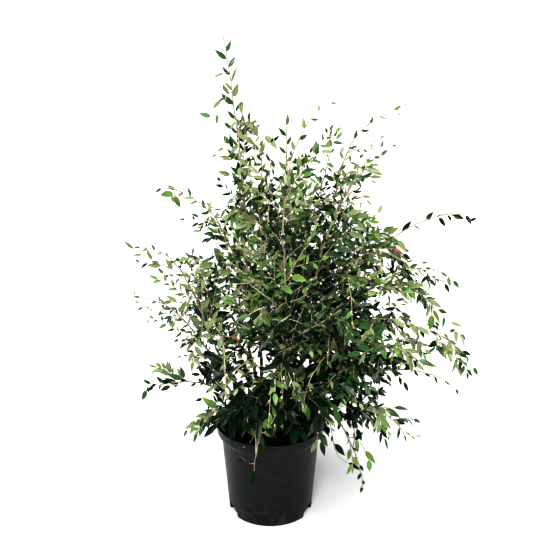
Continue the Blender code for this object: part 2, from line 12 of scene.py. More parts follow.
import bpy
import numpy as np
from bpy.props import FloatProperty, FloatVectorProperty, IntProperty, PointerProperty
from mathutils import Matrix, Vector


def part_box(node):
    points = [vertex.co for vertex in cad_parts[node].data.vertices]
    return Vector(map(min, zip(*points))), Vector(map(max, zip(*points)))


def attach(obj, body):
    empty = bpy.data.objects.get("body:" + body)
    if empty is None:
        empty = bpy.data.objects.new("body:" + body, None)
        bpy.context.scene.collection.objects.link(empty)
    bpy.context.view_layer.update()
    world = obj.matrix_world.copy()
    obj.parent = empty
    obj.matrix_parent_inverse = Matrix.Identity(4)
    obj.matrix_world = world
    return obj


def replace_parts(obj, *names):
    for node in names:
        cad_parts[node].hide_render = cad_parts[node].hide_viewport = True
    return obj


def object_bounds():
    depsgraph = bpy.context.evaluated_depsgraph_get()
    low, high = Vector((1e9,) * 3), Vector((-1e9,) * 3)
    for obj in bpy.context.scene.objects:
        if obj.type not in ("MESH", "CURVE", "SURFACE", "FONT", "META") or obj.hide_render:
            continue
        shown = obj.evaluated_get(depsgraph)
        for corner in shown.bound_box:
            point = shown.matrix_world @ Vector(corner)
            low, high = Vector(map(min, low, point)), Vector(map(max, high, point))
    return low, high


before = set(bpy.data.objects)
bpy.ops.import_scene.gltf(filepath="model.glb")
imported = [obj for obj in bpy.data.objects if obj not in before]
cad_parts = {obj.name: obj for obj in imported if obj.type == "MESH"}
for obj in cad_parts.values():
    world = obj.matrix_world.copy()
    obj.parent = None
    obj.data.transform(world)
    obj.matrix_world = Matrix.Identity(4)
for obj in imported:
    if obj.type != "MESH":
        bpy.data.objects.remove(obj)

bl_info = {
    "name": "Potted Camellia",
    "version": (1, 0, 0),
    "blender": (4, 5, 0),
    "location": "3D View > Sidebar > Camellia",
    "description": "Builds a camellia shrub in its nursery pot round the packed model",
    "category": "Add Mesh",
}

CAD_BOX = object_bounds()
TURN = 2 * math.pi

# Pot, turned about Z, with the model's own sizes
POT_LOW, POT_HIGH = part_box("pot")
POT_HEIGHT = POT_HIGH.z
RIM_RADIUS = POT_HIGH.x         # outside of the rolled lip
RIM_BAND = 0.025                # height of the wider band under the lip
SHOULDER = 0.017                # height over which the wall widens into that band
LIP = 0.003                     # how far the lip stands out from the band
FOOT_RADIUS = 0.1064            # outside, at the underside
WALL_SLOPE = 0.084              # outward lean of the wall, per unit of height
FLOOR = 0.005
FOOT_HEIGHT = 0.030             # the thick foot that the drainage notches cut
FOOT_WALL = 0.014
NOTCH_HEIGHT = 0.025
NOTCH_DEPTH = 0.009
NOTCH_WIDTH = 27.0              # degrees round the pot
NOTCH_AZIMUTHS = (24.0, 156.0, 204.0, 336.0)
NOTCH_EDGE = 0.8                # degrees over which a notch's side wall turns in
NOTCH_TOP = 0.0004              # half the height over which its top turns in
POT_STEP = 2.5                  # degrees between its points, but for the notches' edges
POT_SHARP = 32                  # degrees past which an edge of it is sharp
POLE_RING = 0.050               # radius of the innermost rings of the underside and the floor
FOOT_ROUND = 0.002              # radius of the foot's edge
FOOT_FLAT = 0.0095              # from the foot's outside to a ring below it that the notches don't reach
WALL_START = 0.004              # height of the lowest station of the wall
BAND_LEAN = 0.0011              # how far the band leans out over its height
SHOULDER_STEP = 0.0012          # from the shoulder's end to the band's widest
BAND_GAP = (0.001, 0.0065)      # from its foot to its first station, and from its last to the lip's top
LIP_ROUND = 0.0028              # radius of the rolled lip
INNER_ROUND = 0.002             # radius of the lip's inner edge
INNER_STEP = 0.001              # how far that edge's centre stands out from the band's inside
FLOOR_STEP = 0.004              # height over which the thick foot goes over into the wall

# Compost
SOIL_TOP = 0.220
SOIL_LEVEL = 0.085              # radius of its level middle
SOIL_DROP = 0.006               # how far it falls from there to the wall
SOIL_RINGS = 60
SOIL_SIDES = 180
SOIL_HOLE = 0.002               # radius of its innermost ring
SOIL_GAP = 0.00045              # between the compost and the wall
SOIL_WALL = 0.003               # thickness of the wall that it fills up to
SOIL_FOOT = 0.0003              # between the compost and the pot's floor
SOIL_FADE = 0.01                # its bumps fade out over this much beside the wall
SOIL_LIFT = 0.001               # how far its surface stands above its level
BUMPS = ((38, 0.0020), (85, 0.0012), (190, 0.0008), (420, 0.0005))  # radians a metre, and height
BUMP_HEIGHT = 0.55              # of the summed bumps
WOBBLE = 0.8                    # radians that the bumps' lines sway
WOBBLE_SCALE = 0.7              # how often they do, against the bumps
BUMP_SEED = 7
CHIP_SEED = 11
CHIP_KINDS = (0.62, 0.30, 0.08)  # shares of dark chips, brown chips and white grains
GRAIN_SIZE = 0.0022
CHIP_WIDTH = (0.35, 0.8)        # of a chip's length
CHIP_HEIGHT = (0.2, 0.45)
CHIP_KNOBS = (0.75, 1.2)        # how far its corners stand from its middle
CHIP_TILT = 0.25
CHIP_MARGIN = 0.022             # between the outermost chips and the lip's outside
CHIP_FALL_END = 0.02            # from the lip's outside to where their level has fallen by SOIL_DROP

# Limbs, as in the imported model
PULL = 0.36                     # how far a curve follows its end directions, per unit of its length
STEM_RISE = 88.0                # degrees above level at a stem's foot
STEM_BEND = 6.0                 # degrees that its top leans out past the line from foot to top
STEM_TIP_RADIUS = 0.0030
FLARE = 0.6                     # extra radius at the root, as a share
FLARE_HEIGHT = 0.018
BOUGH_FOOT_RADIUS = 0.0036
SHOOT_TIP_RADIUS = 0.0010
STEM_SIDES = 14
BOUGH_SIDES = 10
BARK_WAVES = 9                  # how many waves make up the relief of a stem's or bough's bark
RING_SPACING = 0.004            # between the rings of points along a stem or bough
STEM_SINK = -0.02               # share of its path at which a stem starts, in the compost
BOUGH_OVERLAP = 0.01            # share of its path that a bough goes on into its shoot
LIMB_TAPER = 0.8                # below 1 a limb thins sooner near its foot
MODEL_LEAF = 0.0429             # the model's last leaf on a shoot stands this far past its tip
LEAF_SINK = 0.006

# Twigs
TWIG_FIRST = 0.04               # of a shoot, where its first twig is
TWIG_CROWDING = 1.25            # above 1 the twigs stand closer near its foot
TWIG_LONGEST = 1.15             # of a mass's twig length, at the foot of its shoot
TWIG_SHRINK = 0.60              # less of it by the shoot's tip
TWIG_VARIETY = (0.60, 1.60)
TWIG_SPREAD = (38.0, 62.0)      # degrees between a twig and its shoot
TWIG_ROLL = 45.0                # degrees that it leaves above or below level, at most
TWIG_FOLLOW = 0.35              # how much its tip turns along the shoot
TWIG_SPIRAL = 137.5             # degrees from one twig to the next round an upright shoot
TWIG_FOOT_RADIUS = 0.0011
TWIG_TIP_RADIUS = 0.0006
TWIG_CLEAR = np.linspace(0.2, 1.0, 5)       # shares of its length that must be clear of the pot
TWIGLET_CLEAR = np.linspace(0.3, 1.0, 4)
TWIGLET_SPACING = 0.045         # along a twig
TWIGLET_SHARE = (0.30, 0.62)    # its length, as a share of its twig's
TWIGLET_SHORTEST = 0.022
TWIGLET_FOOT_RADIUS = 0.0007
TWIGLET_TIP_RADIUS = 0.00045
TWIGLET_PLACE = (0.5, 1.1)      # where in its spacing it leaves
TWIGLET_LAST = 0.85             # of its twig's length, where the last one may leave
TWIGLET_LONGEST = 1.1           # of its share, at the foot of its twig
TWIGLET_SHRINK = 0.5            # less of it by the twig's tip
TWIGLET_ROLL = 60.0
TWIGLET_LEAF = 0.92             # size of its leaves, against its twig's
TWIGLET_TINT = 0.3              # chance that it picks a colour of its own
TWIG_PLACE = (0.1, 0.9)         # where in its share of the shoot a twig leaves
TWIG_SAG = (0.05, 0.35)         # how far its tip sags
HANGING_SAG = 0.5               # the same again, for a mass that hangs
TWIG_AIM = 0.6                  # how much its tip's place follows the direction it ends in
SPRAY_FOOT = 1.15               # radius at a placed spray's foot, against a twig's
SPRAY_LAST_LEAF = 0.8           # of a leaf's length, from a placed spray's tip to its outermost leaf's
KNOT = 0.22                     # extra radius at every third ring of a limb
ZIGZAG = 0.55                   # how far a limb strays from its path, per unit of its radius
OLD_WOOD_AND_SHADE = 0.25                 # twigs of a mass at least this dark have old, brown bark, darkened further as painted shade
STEEP = 0.75                    # sine of the slope past which a twig counts as upright
UPRIGHT = 0.05                  # a direction whose level part is shorter takes X as its side
LENGTH_POINTS = 17              # along a curve, to measure it

# Leaves
LEAF_SPREAD = (34.0, 60.0)      # degrees between a leaf and its twig
SHOOT_SPREAD = (24.0, 46.0)     # the same on a shoot or a placed spray
LEAF_TIP_SPREAD = 24.0          # the same at the end of a twig
LEAF_FOOT = 0.012               # bare length at the foot of a twig
LEAF_VARIETY = (0.75, 1.20)
LEAF_JITTER = 28.0              # degrees that leaves stray from their two ranks
LEAF_ROLL = 38.0                # degrees that a leaf is turned about its own length, at most
LEAF_OUTLOOK = 0.7              # how much its upper side looks outwards from the crown's middle
LEAF_UPLOOK = 0.7               # how much it looks up
LEAF_START = 0.3                # of the spacing, from the bare foot to the first leaf
LEAF_SHRINK = 0.15              # how much smaller the leaves get by the end of a twig
TIP_SPREADS = (0.2, 1.0)        # of LEAF_TIP_SPREAD
HANG_VARIETY = (0.4, 1.3)
SPACING_VARIETY = (0.85, 1.25)
BUD_VARIETY = (0.7, 1.2)
LEAF_SLENDER = (0.30, 0.38)     # width of a leaf, as a share of its length
LEAF_CURL = (0.02, 0.16)        # how far its tip falls, per unit of its length
LEAF_TWIST = 0.5                # radians that it turns from foot to tip, at most
CROWN_MIDDLE = np.array([0.05, 0.12])
FRONT = np.array([0.0, -1.0, 0.0])
TWIG_FRONT = 0.45               # how much it looks to the front, on a twig
SHOOT_FRONT = 1.0               # the same on a shoot or a placed spray
LEAF_RINGS = (0.10, 0.26, 0.48, 0.72, 0.91)     # stations along a leaf, as shares of its length
LEAF_COLUMNS = (-1.0, -0.5, 0.0, 0.5, 1.0)      # stations across its upper side
STALK = 0.09                    # of a leaf's length
STALK_WIDTH = 0.09              # of its width
BLADE_BASE = 0.75               # power of the distance from the blade's foot in its outline
BLADE_TIP = 1.22                # power of the distance from its tip
LEAF_FOLD = 0.11                # how far its edges rise above its midrib, per unit of width
LEAF_DOME = 0.10                # the same halfway to the edge, which domes each half
LEAF_MIDRIB = 0.00045           # how far the midrib stands out below
LEAF_SHARP = 60                 # degrees past which an edge of it is sharp
BUD_WIDTH = 0.34                # radius of a bud, per unit of its length
BUD_START = 0.06                # share of its length at its first ring
BUD_EGG = 0.8                   # below 1 a bud is widest nearer its foot, and blunter
BUD_SIDES = 7
BUD_THINNEST = 0.0002
BUD_TIP = 0.97                  # of half a turn, where its tip closes

# Colours: chances that depend on how far out in the crown a spray is, from 0 to 1
YOUNG_OUTSIDE = 1.5             # new growth at the very outside, against a mass's usual share
YOUNG_POWER = 1.5               # of the distance out
FRESH_SHARE = 0.3               # of the new growth
DEEP_INSIDE = 1.45              # the darkest green deep inside, partly older leaves and partly painted shade, against a mass's usual share
DEEP_FALL = 0.75                # how much less of it there is outside
GREEN_INSIDE = 0.15             # middle green against dark, deep inside
GREEN_RISE = 0.4                # how much more of it there is outside
PALER_FROM = 0.75               # of a twig's length, past which a leaf may be a step paler
PALER_CHANCE = 0.45

# Room that leaves and twigs leave round the pot and the compost
CLEARANCE = 0.003
LIP_WIDTH = 0.014               # of the wall and lip together, seen from above
SOIL_CLEARANCE = 0.004


# --------------------------------------------------------------- what grows where

class Stem(NamedTuple):
    """An upright stem: its foot and its top, each by azimuth, reach and height."""
    name: str
    foot_azimuth: float
    foot_reach: float
    azimuth: float
    reach: float
    height: float
    radius: float


class Mass(NamedTuple):
    """A mass of foliage, with the bough that carries it where its share isn't 0."""
    name: str
    stem: str
    fork: float                 # how far up its stem it leaves; 1 goes on from the top
    azimuth: float              # of its outermost leaf about the pot's axis, degrees
    reach: float                # from that axis to its outermost leaf
    height: float               # of its outermost leaf
    rise: float                 # degrees above level where it leaves
    fall: float                 # degrees above level at its tip; below 0 it hangs
    bough: float                # share of its length that is bare bough
    twig: float                 # length of its longest twigs


class Look(NamedTuple):
    """How a mass is clothed."""
    side: str                   # the piece that its leaves and twigs belong to
    twigs: float                # for each metre of shoot
    bare: float                 # share of the shoot, back from its tip, that bears leaves only
    spacing: float              # between leaves on the shoot
    leaf: float                 # size of its leaves
    young: float                # share of its sprays that are bright new growth
    deep: float                 # share that are the darkest green, partly painted shade, most in low and inner masses
    hang: float                 # how much leaves and twigs hang
    buds: float                 # chance of a flower bud beside a leaf
    rust: float                 # chance that a leaf has turned orange red
    own: str                    # colour of the leaves on the shoot itself
    seed: int                   # picks one of the ways it can grow


class Spray(NamedTuple):
    """A leafy twig with a place of its own, grown from a mass's shoot to its outermost leaf."""
    number: int                 # its turn to grow, which also seeds its random draws
    share: float                # how far along the shoot it leaves
    azimuth: float
    reach: float
    height: float
    rise: float
    fall: float
    leaves: int
    leaf: float                 # size of its leaves
    tint: str
    hang: float = 0.0
    buds: float = 0.0


STEMS = (
    Stem("left", 180, 0.022, 180, 0.030, 0.52, 0.0062),
    Stem("centre", 330, 0.012, 330, 0.040, 0.48, 0.0058),
    Stem("front", 275, 0.036, 284, 0.140, 0.46, 0.0056),
    Stem("back", 70, 0.030, 60, 0.090, 0.50, 0.0056),
    Stem("right", 0, 0.036, 5, 0.110, 0.50, 0.0060),
    Stem("far_left", 195, 0.045, 182, 0.120, 0.42, 0.0052),
    Stem("back_left", 125, 0.036, 128, 0.110, 0.46, 0.0054),
    Stem("back_right", 35, 0.045, 45, 0.150, 0.42, 0.0052),
    Stem("low_left", 235, 0.045, 228, 0.130, 0.36, 0.0048),
    Stem("low_right", 315, 0.045, 322, 0.140, 0.37, 0.0048),
)

MASSES = (
    # on from the tops of the stems
    Mass("top_leader", "left", 1, 180, 0.117, 1.215, 80, 80, 0, 0.085),
    Mass("top_middle", "centre", 1, 308, 0.063, 1.055, 85, 84, 0, 0.110),
    Mass("top_arch", "front", 1, 343, 0.169, 1.090, 80, 22, 0, 0.105),
    Mass("top_back", "back", 1, 37, 0.201, 0.990, 75, 78, 0, 0.115),
    Mass("top_right", "right", 1, 5, 0.321, 1.050, 60, 18, 0, 0.105),
    Mass("left_middle", "far_left", 1, 172, 0.353, 0.696, 50, -4, 0, 0.110),
    Mass("upper_back_left", "back_left", 1, 112, 0.200, 0.870, 60, 60, 0, 0.130),
    Mass("upper_back_right", "back_right", 1, 45, 0.360, 0.760, 55, 15, 0, 0.130),
    Mass("front_left", "low_left", 1, 238, 0.240, 0.620, 60, 45, 0, 0.130),
    Mass("front_right", "low_right", 1, 312, 0.270, 0.640, 55, 30, 0, 0.130),
    # the right side from the top down
    Mass("right_high", "front", 0.90, 348, 0.285, 0.975, 60, 35, 0, 0.110),
    Mass("right_level", "right", 0.92, 6, 0.510, 0.778, 62, -4, 0.15, 0.095),
    Mass("right_upper", "right", 0.80, 345, 0.330, 0.740, 60, 5, 0, 0.120),
    Mass("right_arch", "right", 0.68, 355, 0.465, 0.619, 55, -42, 0.12, 0.120),
    Mass("right_long", "centre", 0.80, 347, 0.516, 0.420, 60, -60, 0.12, 0.120),
    Mass("right_middle", "low_right", 0.88, 328, 0.420, 0.500, 48, -30, 0, 0.125),
    Mass("right_low", "low_right", 0.74, 341, 0.494, 0.392, 42, -38, 0.15, 0.110),
    Mass("right_lowest", "low_right", 0.50, 336, 0.371, 0.254, 42, -62, 0.20, 0.095),
    Mass("right_hanging", "right", 0.35, 340, 0.250, 0.071, 45, -86, 0.25, 0.070),
    # the left side from the top down
    Mass("upper_left", "left", 0.90, 176, 0.292, 0.857, 72, 2, 0.12, 0.105),
    Mass("left_low_arch", "far_left", 0.70, 193, 0.346, 0.620, 45, 15, 0, 0.110),
    Mass("left_low", "low_left", 0.80, 180, 0.321, 0.326, 42, -30, 0.15, 0.105),
    Mass("left_lowest", "low_left", 0.45, 208, 0.255, 0.254, 38, -50, 0.20, 0.080),
    # the front
    Mass("front_top", "left", 0.72, 255, 0.070, 1.010, 50, 82, 0, 0.105),
    Mass("front_bright", "front", 0.80, 272, 0.250, 0.800, 60, 70, 0, 0.110),
    Mass("front_low", "front", 0.60, 292, 0.260, 0.370, 50, -50, 0, 0.110),
    Mass("front_hanging", "front", 0.42, 260, 0.224, 0.191, 40, -82, 0.20, 0.060),
    Mass("front_low_left", "low_left", 0.66, 258, 0.240, 0.330, 50, -40, 0, 0.100),
    # low in the middle, close round the stems
    Mass("low_middle", "left", 0.40, 262, 0.200, 0.440, 50, 10, 0, 0.110),
    Mass("low_middle_right", "right", 0.45, 340, 0.250, 0.440, 45, 0, 0, 0.110),
    # the back
    Mass("back_middle", "back", 0.75, 88, 0.340, 0.660, 45, -15, 0, 0.130),
    Mass("back_low", "back", 0.45, 75, 0.300, 0.330, 45, -45, 0.15, 0.120),
    Mass("back_left_low", "back_left", 0.65, 140, 0.340, 0.460, 48, -30, 0, 0.125),
    Mass("back_right_low", "back_right", 0.75, 30, 0.380, 0.420, 45, -40, 0, 0.120),
)

# How far a shoot's tip stands from where the model's does
TIP_SHIFT = {"top_leader": np.array([0.006, 0.0, 0.040])}

LOOKS = {
    "top_leader": Look("top", 8, 0.34, 0.017, 1.15, 0.27, 0, 0.05, 0.1, 0, "green", 365),
    "top_middle": Look("top", 42, 0.34, 0.02, 0.93, 0.45, 0, 0.05, 0.03, 0, "green", 249),
    "top_arch": Look("top", 30, 0.3, 0.03, 0.75, 0.31, 0.05, 0.15, 0.14, 0, "green", 124),
    "top_back": Look("top", 66, 0.22, 0.016, 0.54, 0.06, 0.3, 0.05, 0.02, 0, "deep", 97),
    "top_right": Look("top", 30, 0.36, 0.03, 0.7, 0.38, 0.05, 0.2, 0.3, 0, "green", 113),
    "upper_back_left": Look("back", 58, 0.12, 0.02, 0.8, 0.22, 0.45, 0.2, 0.04, 0, "dark", 113),
    "upper_back_right": Look("back", 50, 0.12, 0.02, 0.87, 0.02, 0.2, 0.25, 0.04, 0, "dark", 242),
    "front_top": Look("front", 60, 0.16, 0.022, 0.61, 0.34, 0, 0.15, 0.3, 0, "green", 341),
    "front_bright": Look("front", 28, 0.12, 0.026, 0.77, 0.03, 0, 0.15, 0.06, 0, "fresh", 136),
    "front_left": Look("front", 19, 0.1, 0.02, 0.77, 0.09, 0.6, 0.35, 0.05, 0.002, "dark", 139),
    "front_right": Look("front", 40, 0.1, 0.02, 0.81, 0.15, 0.5, 0.4, 0.06, 0, "dark", 322),
    "front_low": Look("front", 46, 0.1, 0.02, 1.24, 0.02, 0.95, 0.6, 0.05, 0, "dark", 6),
    "front_hanging": Look("front", 0, 1, 0.06, 1.3, 0, 0.95, 0.3, 0.45, 0, "deep", 336),
    "front_low_left": Look("front", 39, 0.1, 0.02, 1.24, 0.02, 0.8, 0.55, 0.05, 0, "deep", 344),
    "low_middle": Look("front", 42, 0.1, 0.02, 0.79, 0.09, 0.65, 0.45, 0.04, 0, "deep", 117),
    "low_middle_right": Look("right", 70, 0.1, 0.02, 1.45, 0, 0.95, 0.45, 0.05, 0, "deep", 299),
    "right_high": Look("right", 44, 0.2, 0.022, 0.72, 0.29, 0.4, 0.25, 0.25, 0, "green", 346),
    "right_level": Look("right", 24, 0.5, 0.034, 0.98, 0, 0.45, 0.75, 0.04, 0, "deep", 95),
    "right_upper": Look("right", 43, 0.1, 0.02, 0.82, 0.29, 0, 0.35, 0.2, 0.01, "green", 11),
    "right_arch": Look("right", 16, 0.2, 0.024, 0.8, 0.09, 0.5, 0.6, 0.2, 0.015, "green", 97),
    "right_long": Look("right", 26, 0.2, 0.024, 0.77, 0.41, 0.4, 0.7, 0.15, 0.008, "dark", 76),
    "right_middle": Look("right", 45, 0.12, 0.022, 0.74, 0.25, 0.5, 0.65, 0.05, 0, "deep", 367),
    "right_low": Look("right", 12, 0.42, 0.026, 0.76, 0, 0.25, 0.7, 0.06, 0, "dark", 384),
    "right_lowest": Look("right", 29, 0.42, 0.026, 0.95, 0, 0.95, 0.7, 0.03, 0, "deep", 211),
    "right_hanging": Look("right", 9, 0.5, 0.022, 0.61, 0.1, 0.8, 0.5, 0.06, 0, "deep", 243),
    "upper_left": Look("left", 8, 0.36, 0.022, 0.72, 0.21, 0.03, 0.3, 0.05, 0, "green", 371),
    "left_middle": Look("left", 7, 0.24, 0.022, 0.62, 0.36, 0.2, 0.3, 0.15, 0.004, "green", 362),
    "left_low_arch": Look("left", 21, 0.24, 0.022, 0.62, 0.29, 0, 0.3, 0.15, 0, "green", 337),
    "left_low": Look("left", 5, 0.36, 0.024, 0.77, 0.04, 0.4, 0.28, 0.02, 0, "deep", 87),
    "left_lowest": Look("left", 14, 0.3, 0.024, 0.8, 0, 0.65, 0.5, 0.04, 0, "dark", 328),
    "back_middle": Look("back", 58, 0.12, 0.02, 0.87, 0.09, 0.45, 0.4, 0.04, 0, "dark", 335),
    "back_low": Look("back", 60, 0.12, 0.02, 1.1, 0, 0.7, 0.5, 0.03, 0, "dark", 367),
    "back_left_low": Look("back", 56, 0.26, 0.02, 0.65, 0.12, 0.35, 0.45, 0.04, 0, "dark", 130),
    "back_right_low": Look("back", 60, 0.12, 0.02, 0.72, 0.09, 0.45, 0.5, 0.04, 0, "dark", 328),
}

